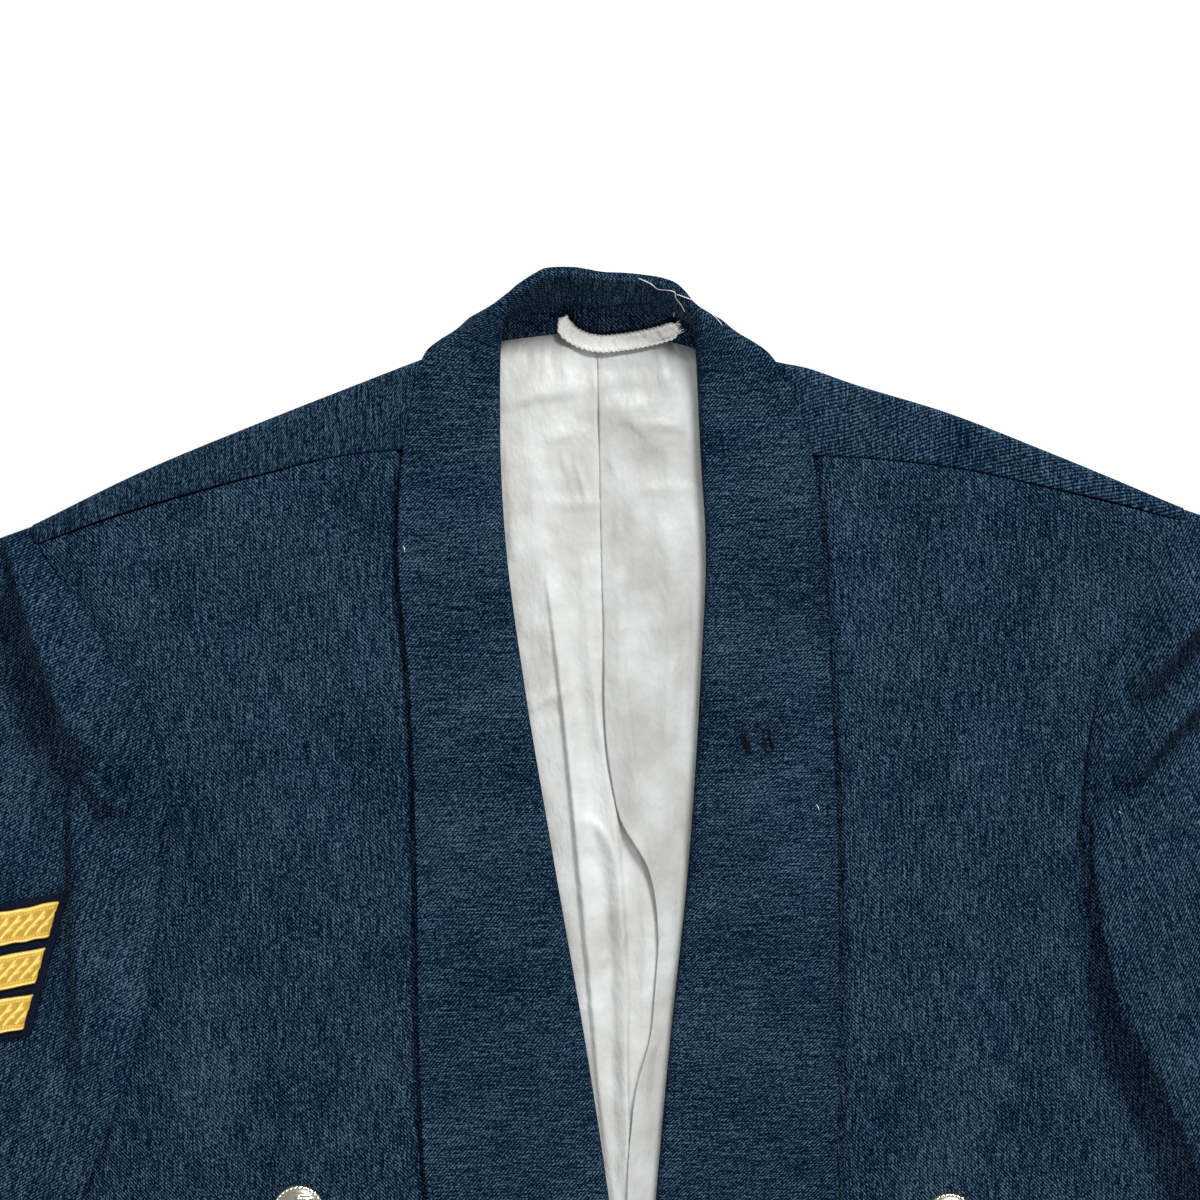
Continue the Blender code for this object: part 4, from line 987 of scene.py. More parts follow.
def front(side):
    """A front's grid, up from its hem and out from under the lapel, with creases and a dip at its seams."""
    v = np.concatenate([np.linspace(0, LAST_PLAIN_SHARE, FRONT_GRID[0]), SEAM_SHARES])
    u = np.concatenate([np.linspace(0, LAST_PLAIN_SHARE, FRONT_GRID[1]), SEAM_SHARES])
    top_y = float(spline(SHOULDER[side], NECK_EDGE)[1]) - SEAM_OPEN
    inner_y = FRONT_POINT + (top_y - FRONT_POINT) * v
    inner = np.column_stack([spline(LAPEL[side], inner_y)[:, 0] + FRONT_INSIDE_ROLL, inner_y])
    armhole = list(HIDDEN_ARMHOLE[side][-2::-1]) + list(FRONT_ARMHOLE[side][-2::-1])
    outer = along(side_points(side) + armhole, v)
    outer[:, 0] -= SEAM_OPEN
    bottom = edge_between(inner[0], outer[0], u, lambda out: spline(HEM, out)[:, 0])
    top = edge_between(inner[-1], outer[-1], u, lambda out: spline(SHOULDER[side], out)[:, 1] - SEAM_OPEN)
    plan = patch(bottom, top, inner, outer, v)
    plan[..., 0] *= SIGN[side]
    x, y = plan[..., 0], plan[..., 1]
    side_out = spline(SIDE[side], y)[..., 0]
    curl = ease(outward(side, x), side_out - SIDE_CURL, side_out) * ease(y, *SIDE_CURL_BELOW)
    z = front_top(side, x, y) * (1 - curl) + SIDE_EDGE_TOP * curl
    past_lapel = outward(side, x) - spline(LAPEL[side], y)[..., 1]
    covered = 1 - ease(past_lapel, *FOLDS_START_PAST_LAPEL)
    z = z + (relief(FRONT_FOLDS[side], x, y) + 0.25 * unevenness(x, y, 60, 3)) * (1 - covered) * (1 - curl)
    z = z - LAPEL_GROOVE * bell(past_lapel, 0.4, 2.0) * (1 - curl)
    into_seam = np.zeros(z.shape)
    into_seam[-3:] = np.array(SEAM_DROPS)[:, None]
    into_seam[ARMHOLE_FROM_ROW:, -3:] = np.maximum(into_seam[ARMHOLE_FROM_ROW:, -3:], SEAM_DROPS)
    return np.concatenate([plan, (z - SEAM_DIP * into_seam)[..., None]], axis=2)


def back():
    """The back panel and the strips that wrap over the shoulders."""
    shoulder_out = np.concatenate([np.linspace(BACK_CORNER_OUT, 84, 48)[:-1], np.linspace(84, NECK_EDGE, 15)])
    neck_x = np.linspace(-40, 40, 31)[1:-1]
    top = [(-out, flat_end(RIGHT, out)) for out in shoulder_out]
    top += list(zip(neck_x, spline(NECKLINE, neck_x)[:, 0]))
    top += [(out, flat_end(LEFT, out)) for out in shoulder_out[::-1]]
    top = np.array(top)
    bottom_x = np.linspace(-SIDE[RIGHT][0][1], SIDE[LEFT][0][1], len(top))
    bottom = np.column_stack([bottom_x, spline(HEM, np.abs(bottom_x))[:, 1]])
    v = evenly(BACK_ROWS, BACK_ROW_COUNT)
    edges = {}
    for side in (RIGHT, LEFT):
        edge = side_points(side) + list(BACK_ARMHOLE[side][-2::-1])
        edge[-1] = (BACK_CORNER_OUT, flat_end(side, BACK_CORNER_OUT))
        edges[side] = along(edge, v) * (SIGN[side], 1)
    plan = patch(bottom, top, edges[RIGHT], edges[LEFT], v)
    flat = np.concatenate([plan, np.zeros(plan.shape[:2] + (1,))], axis=2)
    grids, flats = [flat], [plan]
    strips = {RIGHT: flat[-1, : len(shoulder_out)], LEFT: flat[-1, -len(shoulder_out) :]}
    for side, starts in strips.items():
        strip = np.array([shoulder_wrap(side, start) for start in starts]).transpose(1, 0, 2)
        steps = np.linalg.norm(np.diff(strip, axis=0), axis=2)
        length = np.concatenate([np.zeros((1, strip.shape[1])), np.cumsum(steps, axis=0)])
        grids.append(strip)
        flats.append(np.stack([strip[..., 0], strip[0, :, 1] + length], axis=2))
    return grids, flats


def shoulder_wrap(side, start):
    """Points from the floor over the fold and down the strip to the shoulder seam, at one x."""
    x = start[0]
    fold, seam = spline(SHOULDER[side], abs(x))
    radius = shoulder_height(side, abs(x)) / 2
    reach = fold_reach(side, abs(x))
    slant = SIGN[side] * ARMHOLE_SLANT * ease(abs(x), *SLANT_OUT)
    level = fold - reach
    points = [start]
    for angle in np.radians(np.linspace(0, 180, 13)[1:]):
        points.append((x, level + reach * math.sin(angle), radius - radius * math.cos(angle)))
    for share, dip in zip((*np.linspace(0, 0.955, 12)[1:], 0.975, 0.99, 1.0), (0.0,) * 11 + WRAP_DROPS):
        y = level * (1 - share) + (seam + SEAM_OPEN) * share
        points.append((x - slant * share, y, float(front_top(side, x, seam)) - SEAM_DIP * dip))
    return points


def lapel_section(side, x, y, way, lay):
    """The collar's outer surface where it lies on the front: distance outwards and height of each point."""
    points = [(TUCK_DEPTH, TUCK_UNDERSIDE), (ROLL_RADIUS, TUCK_UNDERSIDE)]
    for a in np.radians((-45, 0, 45)):
        points.append((ROLL_RADIUS * (1 - math.cos(a)), TUCK_UNDERSIDE + ROLL_RADIUS * (1 + math.sin(a))))
    points.append((ROLL_RADIUS, ROLL_HEIGHT))
    for share in (0.16, 0.36, 0.56, 0.76, 0.92, 1.0):
        o = ROLL_RADIUS + (lay - ROLL_RADIUS) * share
        at_x, at_y = x + way[0] * o, y + way[1] * o
        points.append((o, float(front_top(side, at_x, at_y)) + GAP + COLLAR_WALL))
    return np.array(points)


def over_section(lay):
    """The collar where it passes over the shoulder: up from its tuck, over, and down to the floor."""
    up = [(3.0, 4.8), (1.2, 6.6), (0.3, 9.4), (0.0, 12.4), (0.6, 15.4), (2.4, 17.6)]
    down = [(0.34, 18.2), (0.66, 17.0), (0.86, 13.8), (0.97, 9.4), (1.0, 4.6), (1.0, 0.0)]
    return np.array(up + [(2.4 + (lay - 2.4) * o, z) for o, z in down])


def collar_station(side, x, y, degrees, lay, turn):
    """A section of the collar, which lies on the front where turn is 0 and stands up where it is 1."""
    way = np.array([math.cos(math.radians(degrees)), math.sin(math.radians(degrees))])
    over = over_section(max(lay, 5.0))
    if turn <= 0.5:
        share = (turn / 0.5) ** 2
        section = lapel_section(side, x, y, way, lay) * (1 - share) + over * share
    else:
        share = (turn - 0.5) / 0.5
        section = over * (1 - share) + np.array(STANDING_SECTION) * share
    return [(x + way[0] * o, y + way[1] * o, z) for o, z in section]


def neck_rows():
    """The neck's rows, with nine more between each two."""
    rows = np.array(NECK)
    count = 2 * len(rows) - 1
    rows = along(rows, np.interp(np.arange(count), np.arange(0, count, 2), shares_along(rows)))
    return by_index(rows, np.linspace(0, count - 1, 5 * (count - 1) + 1))


def collar():
    """The collar's grid, with the CAD's stations closer together and its sections made round."""
    lapels = {}
    for side in (RIGHT, LEFT):
        degrees = 180.0 if side == RIGHT else 0.0
        lapels[side] = []
        for y in np.concatenate([np.linspace(LAPEL[side][0][0], -70, 150), (-60, -50)]):
            roll, edge = spline(LAPEL[side], y)
            lapels[side].append(collar_station(side, SIGN[side] * roll, y, degrees, edge - roll, 0.0))
    neck = []
    for x, y, degrees, lay, turn in neck_rows():
        neck.append(collar_station(side_of(x), x, y, degrees, lay, min(max(turn, 0.0), 1.0)))
    coarse = np.array(lapels[RIGHT] + neck + lapels[LEFT][::-1])
    fine = np.concatenate([np.linspace(0, 1, 5), np.linspace(1, 6, 16)[1:], np.linspace(6, 11, 26)[1:]])
    across = coarse.transpose(1, 0, 2).reshape(coarse.shape[1], -1)
    return by_index(across, fine).reshape(len(fine), -1, 3).transpose(1, 0, 2)


def collar_relief(grid):
    """The collar with its creases, and with its outer edge off the cloth that it lies on."""
    column = np.arange(grid.shape[1])
    lying = ease(-30 - grid[..., 1], 0, 40) * ease(column, 14, 24)[None, :]
    added = relief(COLLAR_FOLDS, grid[..., 0], grid[..., 1])
    added = added + 0.2 * unevenness(grid[..., 0], grid[..., 1], 50, 8)
    grid[..., 2] += (np.maximum(added, -0.25) + LAPEL_EDGE_LIFT * ease(column, 38, 45)) * lying
    return grid


def facing():
    """The strip inside the back neck, which runs on under the collar."""
    x = np.linspace(-43, 41, 85)
    upper = spline(NECKLINE, x)[:, 0] - 3 * GAP
    lower = spline(FACING_EDGE, x)[:, 0] + GAP / 2
    upper = np.maximum(upper, lower + 1.0) + spline(FACING_TURNED_UP, x)[:, 0]
    rows = [lower * (1 - share) + upper * share for share in np.linspace(0, 1, 14)]
    return np.array([np.column_stack([x, y, np.full(len(x), FACING_TOP)]) for y in rows])


def lining_row(side, at_y, shares):
    """One row of the lining without its folds, from the centre seam or pleat to under the roll."""
    centre = float(spline(PLEAT, at_y)[0])
    past = LINING_PAST_ROLL - LINING_DRAWN_IN * float(ease(at_y, -60, -20))
    roll = float(spline(LAPEL[side], at_y)[0]) + past
    near = centre + GAP / 2
    if side == RIGHT:
        near = centre + 2.0 + (PLEAT_UNDERLAP - 2.0) * float(1 - ease(at_y, *PLEAT_ENDS))
    x = near + (SIGN[side] * roll - near) * shares
    level = np.full(len(shares), LINING_TOP)
    if side == LEFT:
        lap = 1 - ease(x - centre, PLEAT_UNDERLAP + 3, PLEAT_UNDERLAP + 13)
        lap *= 1 - ease(at_y, PLEAT_ENDS[1] + 4, PLEAT_ENDS[1] + 28)
        level = level + (PLEAT_TOP - LINING_TOP) * lap
        level = level + PLEAT_EDGE_UP * (bell(x, centre, 4.0) * (1 - ease(at_y, -214, -200)))
    else:
        level = level - SEAM_STEP * ease(x - centre, -1.2, 0.1)
    return np.column_stack([x, np.full(len(shares), at_y), level])


def lining(side):
    """A half of the back's lining, as far as it shows between the lapels and a little under them."""
    y = np.linspace(LINING_BOTTOM, -24, LINING_GRID[0])
    shares = np.linspace(0, 1, LINING_GRID[1])
    rows = [lining_row(side, at_y, shares) for at_y in y]
    rows.append(rows[-1].copy())
    grid = np.array(rows)
    grid[-1, :, 1] = spline(FACING_EDGE, grid[-1, :, 0])[:, 0] - GAP / 2
    x, y = grid[..., 0], grid[..., 1]
    past_roll = outward(side, x) - spline(LAPEL[side], y)[..., 0]
    puff = LINING_PUFF * (1 - ease(past_roll, -14, -2)) * ease(-20 - y, 0, 12)
    folds = puff + relief(LINING_FOLDS[side], x, y)
    folds += 0.3 * unevenness(x, y, 26, 5) + 0.15 * unevenness(x, y, 11, 6)
    grid[..., 2] += np.maximum(folds, -0.2) * (1 - ease(past_roll, -3, 1))
    return grid


def fold_heights(side, out, y):
    """What a sleeve's folds add to its height: each is a soft ridge or trough along a bent line."""
    total = np.zeros(np.shape(out))
    for x0, y0, x1, y1, x2, y2, half_width, height in SLEEVE_FOLDS[side]:
        line, t = bent_line((x0, y0), (x1, y1), (x2, y2), 25)
        fade = np.sin(np.pi * t) ** 0.5
        apart = np.hypot(np.asarray(out)[..., None] - line[:, 0], np.asarray(y)[..., None] - line[:, 1])
        nearest = apart.argmin(axis=-1)
        gap = np.take_along_axis(apart, nearest[..., None], axis=-1)[..., 0]
        total = total + height * fade[nearest] * bell(gap, 0, half_width)
    return total


def between_edges(side, first, across, t, section, follow):
    """A ring's points at t of the way from the armhole to the first straight section, or beyond it.

    Follow is how far a point keeps to the curve of the two folds, from 0 to 1.
    """
    u = across[:, None]
    ruled = section[:2] + (section[2:] - section[:2]) * u
    if t >= 1:
        return ruled
    start, straight = np.array(SLEEVE[side][0]), np.array(SLEEVE[side][STRAIGHT_FROM])
    chord = start[:2] + (start[2:] - start[:2]) * u
    line = straight[:2] + (straight[2:] - straight[:2]) * u
    even = (1 - t) * chord + t * line
    return even + (1 - t) * (first - chord) + (ruled - even) * follow[:, None]


def fold_share(across):
    """0 at a sleeve's two folds and 1 on its flat, round between them."""
    return np.sqrt(1 - (1 - np.clip(np.minimum(across, 1 - across) / FOLD_SHARE, 0, 1)) ** 2)


def sleeve_levels(side, points):
    """The plain heights of a sleeve's upper and lower face: over the front, and on the floor outside it."""
    out, y = points[:, 0], points[:, 1]
    past_side = out - spline(SIDE[side], y)[:, 0]
    past_hem = HEM_AT_SIDE - y
    body = front_top(side, SIGN[side] * out, y) + SLEEVE_OVER_FRONT
    below = body * (1 - ease(past_side, 2, 25)) * (1 - ease(past_hem, 9, 34))
    above = body * (1 - ease(past_side, -3, 35)) * (1 - ease(past_hem, 2, 40)) + SLEEVE_LOFT
    return above, below


def sleeve_start(side, over, under):
    """The sleeve's first ring in plan: above along the front's armhole, below along the back's."""
    start = SLEEVE[side][0][:2]
    seam = along([start, *FRONT_ARMHOLE[side]], over)
    seam[1:-1, 0] += SEAM_OPEN
    behind = under <= UNDERARM_AT
    floor = np.zeros((len(under), 2))
    floor[behind] = along([start, *BACK_ARMHOLE[side][1:]], under[behind] / UNDERARM_AT)
    floor[behind] += UNDERARM_EASE * np.column_stack([np.ones(behind.sum()), ease(under[behind], 0.25, 0.45)])
    floor[~behind] = along(HIDDEN_ARMHOLE[side][::-1], (under[~behind] - UNDERARM_AT) / (1 - UNDERARM_AT))
    floor[0], floor[-1] = seam[0], seam[-1]
    return seam, floor


def sleeve(side):
    """The CAD's flattened tube with more rings and columns, and the smaller creases on top."""
    parts = (SLEEVE_RINGS, OVER_SLEEVE, UNDER_SLEEVE)
    ring_keys, over, under = (evenly(part, count) for part, count in zip(parts, SLEEVE_GRID))
    seam, floor = sleeve_start(side, over, under)
    seam_height = front_top(side, SIGN[side] * seam[:, 0], seam[:, 1])
    rings = []
    for key, section in zip(ring_keys, by_index(SLEEVE[side], ring_keys)):
        t = min(key / STRAIGHT_FROM, 1.0)
        above = between_edges(side, seam, over, t, section, np.ones(len(over)))
        below = between_edges(side, floor, under, t, section, (2 * under - 1) ** 2)
        near_seam = 1 - ease(t, 0.0, 0.75)
        top = seam_height * near_seam + sleeve_levels(side, above)[0] * (1 - near_seam)
        top = top + fold_heights(side, above[:, 0], above[:, 1]) * ease(key, 0.0, 0.5)
        creases = relief(SLEEVE_CREASES[side], SIGN[side] * above[:, 0], above[:, 1])
        creases += 0.3 * unevenness(above[:, 0], above[:, 1], 70, 11 if side == RIGHT else 12)
        top = top + creases * ease(key, 0.0, 0.4) - SEAM_DIP * (1 - ease(key, 0.0, 0.04))
        head_low = SLEEVE_OVER_FRONT + front_top(side, SIGN[side] * below[:, 0], below[:, 1])
        head_low = head_low * ease(under, UNDERARM_AT - 0.08, UNDERARM_AT)
        mix = ease(t, 0.55, 1.0)
        low = head_low * (1 - mix) + sleeve_levels(side, below)[1] * mix
        low_there = np.interp(over, under, low)
        top = np.maximum(top, low_there + 2 * SLEEVE_WALL + SLEEVE_AIR)
        top_there = np.interp(under, over, top)
        top = (top + low_there) / 2 + (top - low_there) / 2 * fold_share(over)
        low = (top_there + low) / 2 - (top_there - low) / 2 * fold_share(under)
        lift = max(0.0, float(spline(SLEEVE_LIFT[side], section[3])[0]))
        top = top + lift * ease(over, 0.5, 0.97)
        low = low + lift * ease(under, 0.5, 0.97)
        upper, lower = np.column_stack([above, top]), np.column_stack([below, low])
        rings.append(np.concatenate([upper, lower[-2:0:-1]]) * (SIGN[side], 1, 1))
    return seam_allowance(np.array(rings), len(over))


def seam_allowance(grid, over_count):
    """The same tube with its edge turned in under the front and over the back, so that no gap shows."""
    first, second = grid[0], grid[1]
    way = first[:, :2] - second[:, :2]
    way /= np.maximum(np.linalg.norm(way, axis=1), 0.01)[:, None]
    inward = np.column_stack([-np.sign(first[:, 0]), np.zeros(len(first))]) * 0.7 + way * 0.3
    above = np.arange(len(first)) < over_count
    edge = []
    for share in (1.0, 0.5, 0.12):
        ring = first.copy()
        ring[:, :2] += inward * ALLOWANCE * share
        ring[:, 2] += np.where(above, -2.6, 2.3) * share**0.5
        edge.append(ring)
    return np.concatenate([edge, grid])


def sleeve_grain(side, grid):
    """Each point's place on the sleeve's cloth, whose warp runs straight down the sleeve."""
    turn = SIGN[side] * -BADGE_TURN
    across = grid[..., 0] * math.cos(turn) + grid[..., 1] * math.sin(turn)
    down = grid[..., 0] * math.sin(turn) - grid[..., 1] * math.cos(turn)
    return np.stack([across, down], axis=-1)


def hanger(finish, thread):
    """White tape overcast with zigzag stitches, its left end turned up and its right end frayed."""
    rows, columns = TAPE_GRID
    shares = np.linspace(0, 1, rows)
    middle = along(HANGER, shares)
    way = np.gradient(middle[:, :2], axis=0)
    way /= np.linalg.norm(way, axis=1)[:, None]
    narrowed = 1 - 0.45 * (1 - ease(shares, 0.0, 0.1)) - 0.3 * ease(shares, 0.95, 1.0)
    across = np.column_stack([-way[:, 1], way[:, 0]]) * (TAPE_WIDTH / 2 * narrowed)[:, None]
    steps = np.concatenate([[0], np.cumsum(np.linalg.norm(np.diff(middle[:, :2], axis=0), axis=1))])
    turned_up = (1 - ease(shares, 0.0, 0.2)) * 2.2 + ease(shares, 0.92, 1.0) * 1.2
    grid = np.zeros((rows, columns, 3))
    for j, share in enumerate(np.linspace(1, -1, columns)):
        stitch, wave = math.tau * steps / STITCH_PITCH, math.tau * steps / 5.2
        scallop = 1 + 0.07 * np.sin(stitch) * abs(share) ** 3
        grid[:, j, :2] = middle[:, :2] + across * share * scallop[:, None]
        puff = 0.55 * (1 - share * share) * (0.5 + 0.5 * np.sin(wave + 2 * share + np.sin(steps)))
        rim = 0.75 * bell(abs(share), 0.78, 0.17) * (0.5 + 0.5 * np.sin(stitch + 3 * share))
        grid[:, j, 2] = FACING_TOP + middle[:, 2] + TAPE_WALL + turned_up * (1 + 0.3 * share) + puff + rim
    cloth("hanger_tape", [grid], TAPE_WALL, finish, "hanger_loop")
    stitches = []
    for edge in (-1, 1):
        zigzag = []
        for i in range(0, rows, 2):
            share = edge * (0.6 if (i // 2) % 2 else 0.97)
            column = int(round((1 - share) / 2 * (columns - 1)))
            zigzag.append((*(middle[i, :2] + across[i] * share), grid[i, column, 2] + 0.16))
        stitches.append(zigzag)
    height = grid[-1, 10, 2] - 0.4
    rng = np.random.default_rng(9)
    for _ in range(16):
        start = middle[-1, :2] + across[-1] * rng.uniform(-1, 1)
        turn, length = rng.normal(0.4, 0.7), rng.uniform(0.8, 2.8)
        end = start + np.array((math.cos(turn), math.sin(turn))) * length
        bend = (start + end) / 2 + rng.normal(0, 0.4, 2)
        stitches.append([(*start, height), (*bend, height + 0.2), (*end, height - 0.6)])
    tubes("hanger_stitches", stitches, 0.17, thread)


def badge_spot(sideways, run):
    """The x and y of a place on the badge: sideways of its middle, and down from its upper edge."""
    run = run - np.abs(sideways) * math.tan(BAR_SLOPE)
    x = BADGE_POINT[0] + sideways * math.cos(BADGE_TURN) + run * math.sin(BADGE_TURN)
    y = BADGE_POINT[1] + sideways * math.sin(BADGE_TURN) + run * -math.cos(BADGE_TURN)
    return x, y


def badge_ground(tree):
    """A function for the height of the sleeve under the badge, which bridges the finest creases."""
    past = BADGE_MARGIN + 2
    columns = np.linspace(-BADGE_HALF_WIDTH - past, BADGE_HALF_WIDTH + past, 45)
    rows = np.linspace(-past, BADGE_DEPTH + past, 29)
    level = np.array([[height_on(tree, *badge_spot(a, b)) for a in columns] for b in rows])
    for _ in range(3):
        beside = level[:-2, 1:-1] + level[2:, 1:-1] + level[1:-1, :-2] + level[1:-1, 2:]
        level[1:-1, 1:-1] = (level[1:-1, 1:-1] * 2 + beside) / 6

    def height_at(sideways, run):
        i = np.clip(np.interp(run, rows, np.arange(len(rows))), 0, len(rows) - 1.001)
        j = np.clip(np.interp(sideways, columns, np.arange(len(columns))), 0, len(columns) - 1.001)
        a, b = i.astype(int), j.astype(int)
        f, g = i - a, j - b
        first = level[a, b] * (1 - f) + level[a + 1, b] * f
        second = level[a, b + 1] * (1 - f) + level[a + 1, b + 1] * f
        return first * (1 - g) + second * g

    return height_at


def badge_felt(height_at, felt):
    """The badge's backing, its edge a little ragged."""
    half, end = BADGE_HALF_WIDTH + BADGE_MARGIN, BADGE_DEPTH + BADGE_MARGIN
    columns, rows = np.linspace(-half, half, FELT_GRID[0]), np.linspace(end, -BADGE_MARGIN, FELT_GRID[1])
    sideways, run = np.meshgrid(columns, rows)
    ragged = np.exp(-np.minimum(half - np.abs(sideways), np.minimum(run + BADGE_MARGIN, end - run)) / 1.2)
    sideways = sideways + ragged * 0.45 * unevenness(sideways, run, 5, 21)
    run = run + ragged * 0.45 * unevenness(sideways, run, 4, 22)
    z = height_at(sideways, run) + BADGE_WALL + 0.25 + 0.12 * unevenness(sideways, run, 3, 23) - 0.5 * ragged
    grid, flats = np.stack([*badge_spot(sideways, run), z], axis=2), [np.stack([sideways, run], axis=2)]
    cloth("chevron_felt", [grid], BADGE_WALL, felt, "chevron_backing", flats, rests_on=["sleeve_right_cloth"])


def badge_fuzz(height_at, felt):
    """Loose fibres round the edge of the felt."""
    half, end = BADGE_HALF_WIDTH + BADGE_MARGIN, BADGE_DEPTH + BADGE_MARGIN
    rng = np.random.default_rng(4)
    fibres = []
    for _ in range(FIBRES):
        around = rng.uniform(0, 4)
        on_long_edge = around < 2.6
        sideways = rng.uniform(-half, half) if on_long_edge else (half if around < 3.3 else -half)
        run = rng.choice((-BADGE_MARGIN, end)) if on_long_edge else rng.uniform(-BADGE_MARGIN, end)
        start = np.array(badge_spot(sideways, run))
        out_way = start - np.array(badge_spot(sideways * 0.9, BADGE_DEPTH / 2))
        out_way = turned(out_way / np.linalg.norm(out_way), rng.normal(0, 0.7))
        length = rng.uniform(0.6, 2.2)
        base = float(height_at(np.array(sideways), np.array(run))) + BADGE_WALL - 0.2
        start = start - out_way * 0.8
        bend = rng.normal(0, 0.35, 2)
        line = []
        for f in (0, 0.5, 1):
            place = start + out_way * length * f + bend * f * f
            line.append((*place, base - 0.5 * f + 0.5 * rng.uniform(0, 1) * f))
        fibres.append(line)
    tubes("chevron_fuzz", fibres, 0.09, felt, sides=3, tip=0.4)


def lace_relief(s, w):
    """How far the lace's weave stands out, from 0 to 1, at s millimetres along it and w of the way across."""
    cords = bell(w, 0.05, 0.035) + bell(w, 0.95, 0.035)
    chains = (bell(w, 0.15, 0.028) + bell(w, 0.85, 0.028)) * (0.55 + 0.45 * np.sin(math.tau * s / 1.3))
    bend = 0.28 * np.sin((w - 0.5) * 6.0) + 0.9 * (w - 0.5)
    phase = np.mod(s / 5.0 - bend, 1.0)
    field = ease(w, 0.18, 0.24) * (1 - ease(w, 0.76, 0.82))
    rib = bell(phase, 0.4, 0.13)
    arms = bell(phase, 0.68, 0.16) * (bell(w, 0.62, 0.045) + 0.8 * bell(w, 0.42, 0.04))
    wires = 0.09 * np.sin(math.tau * (s * 0.9 + w * 9.0) / 0.62)
    return np.clip(0.16 + 0.7 * cords + 0.5 * chains + field * (0.72 * rib + 0.6 * arms) + wires, 0, 1)


def badge_bar(bar, height_at, lace):
    """One chevron of lace, woven in relief, worn at its ends and with rounded edges."""
    columns = np.linspace(-BADGE_HALF_WIDTH, BADGE_HALF_WIDTH, LACE_GRID[0])
    sideways, w = np.meshgrid(columns, np.linspace(0, 1, LACE_GRID[1]))
    run = bar * BAR_PITCH + BAR_DEPTH * (1 - w)
    s = np.abs(sideways) / math.cos(BAR_SLOPE) + 1.7 * bar
    worn = unevenness(sideways, run, 6, 31 + bar)
    near_end = ease(np.abs(sideways), BADGE_HALF_WIDTH - 1.2, BADGE_HALF_WIDTH)
    raised = lace_relief(s, w) * (1 - 0.5 * near_end)
    at_side, at_run = sideways + 0.3 * near_end * worn, run + 0.3 * unevenness(sideways, run, 9, 41 + bar)
    z = height_at(at_side, at_run) + BADGE_WALL + LACE_ABOVE_FELT + 0.42 * raised + 0.12 * worn
    rounded = np.minimum(np.minimum(w, 1 - w) * BAR_WIDTH / 0.5, 1)
    z = z - 0.45 * (1 - np.sqrt(1 - (1 - rounded) ** 2))
    grid = np.stack([*badge_spot(at_side, at_run), z], axis=2)
    places = np.stack([s, w * BAR_WIDTH], axis=2)
    name, node = f"chevron_lace_{bar + 1}", f"chevron_bar_{bar + 1}"
    size = (2 * BADGE_HALF_WIDTH / math.cos(BAR_SLOPE) + 3, BAR_WIDTH + 1)
    made = cloth(name, [grid], LACE_SHELL, lace, node, [places], rests_on=["chevron_felt"], flat_size=size)
    # The third number is the weave's height, which the lace's colour turns into painted shade and a painted
    # highlight
    values = np.column_stack([places.reshape(-1, 2) * METRES, raised.reshape(-1)])
    made.data.attributes["cloth"].data.foreach_set("vector", values.ravel())


def badge(tree):
    """Felt with three chevrons of lace, laid on the right sleeve."""
    height_at = badge_ground(tree)
    felt = plain("navy_felt_nap", (0.0045, 0.0065, 0.0150), 0.95, 0.5, spread=0.7, bump=0.9, shine=0.05)
    lace = lace_finish("gold_lace_weave")
    badge_felt(height_at, felt)
    badge_fuzz(height_at, felt)
    for bar in range(BARS):
        badge_bar(bar, height_at, lace)


def button(name, x, y, base, finish):
    """A domed button with a rope rim, a lined field and a plain eight-petalled rosette."""
    rings, spokes = BUTTON_GRID
    shares, angle = np.linspace(0, 1, rings) ** 0.8, np.linspace(0, math.tau, spokes, endpoint=False)
    radius, turn = np.meshgrid(shares, angle, indexing="ij")
    dome = 1.0 - 0.62 * radius**2.2
    rope = bell(radius, 0.9, 0.045) * (0.75 + 0.25 * np.sin(36 * turn + 12 * radius))
    field = (1 - ease(radius, 0.74, 0.8)) * ease(radius, 0.5, 0.56)
    lined = 0.012 * np.sin(radius * np.sin(turn) * 55) * field
    petal = np.cos(4 * turn) ** 2
    petals = petal * ease(radius, 0.08, 0.16) * (1 - ease(radius, 0.4 + 0.12 * petal, 0.5 + 0.12 * petal))
    boss = 1 - ease(radius, 0.09, 0.14)
    z = dome + 0.1 * rope + lined + 0.1 * petals + 0.09 * boss
    z = np.where(radius > 0.94, z - 0.5 * (radius - 0.94) / 0.06, z) * BUTTON_HEIGHT * 0.9
    top = np.stack([radius * BUTTON_RADIUS * np.cos(turn), radius * BUTTON_RADIUS * np.sin(turn), z], axis=2)
    foot = 0.86 * BUTTON_RADIUS * np.column_stack([np.cos(angle), np.sin(angle), np.zeros(spokes)])
    points = np.concatenate([top.reshape(-1, 3), foot]) * METRES + (np.array((x, y, base)) * METRES + SHIFT)
    faces = quads(rings + 1, spokes, around=True)[:, TURN_OVER].tolist()
    faces.append(list(range(rings * spokes, (rings + 1) * spokes))[::-1])
    mesh = bpy.data.meshes.new(name)
    mesh.from_pydata(points.tolist(), [], faces)
    merge_points(mesh, 1e-6, outwards=True)
    return add_piece(mesh, finish)


def buttons():
    """A dome over each of the CAD's buttons."""
    for side in (RIGHT, LEFT):
        for number in range(BUTTONS_A_SIDE):
            name = f"button_{side}_{number + 1}"
            low, high = (np.array(corner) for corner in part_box(name))
            x, y, _ = ((low + high) / 2 - SHIFT) / METRES
            base = (low[2] - SHIFT[2]) / METRES
            finish = plain(f"{name}_gilt", (0.86, 0.80, 0.67), 0.2, 3.0, metallic=1.0, spread=0.06, bump=0.05)
            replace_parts(button(f"{name}_dome", x, y, base, finish), name)


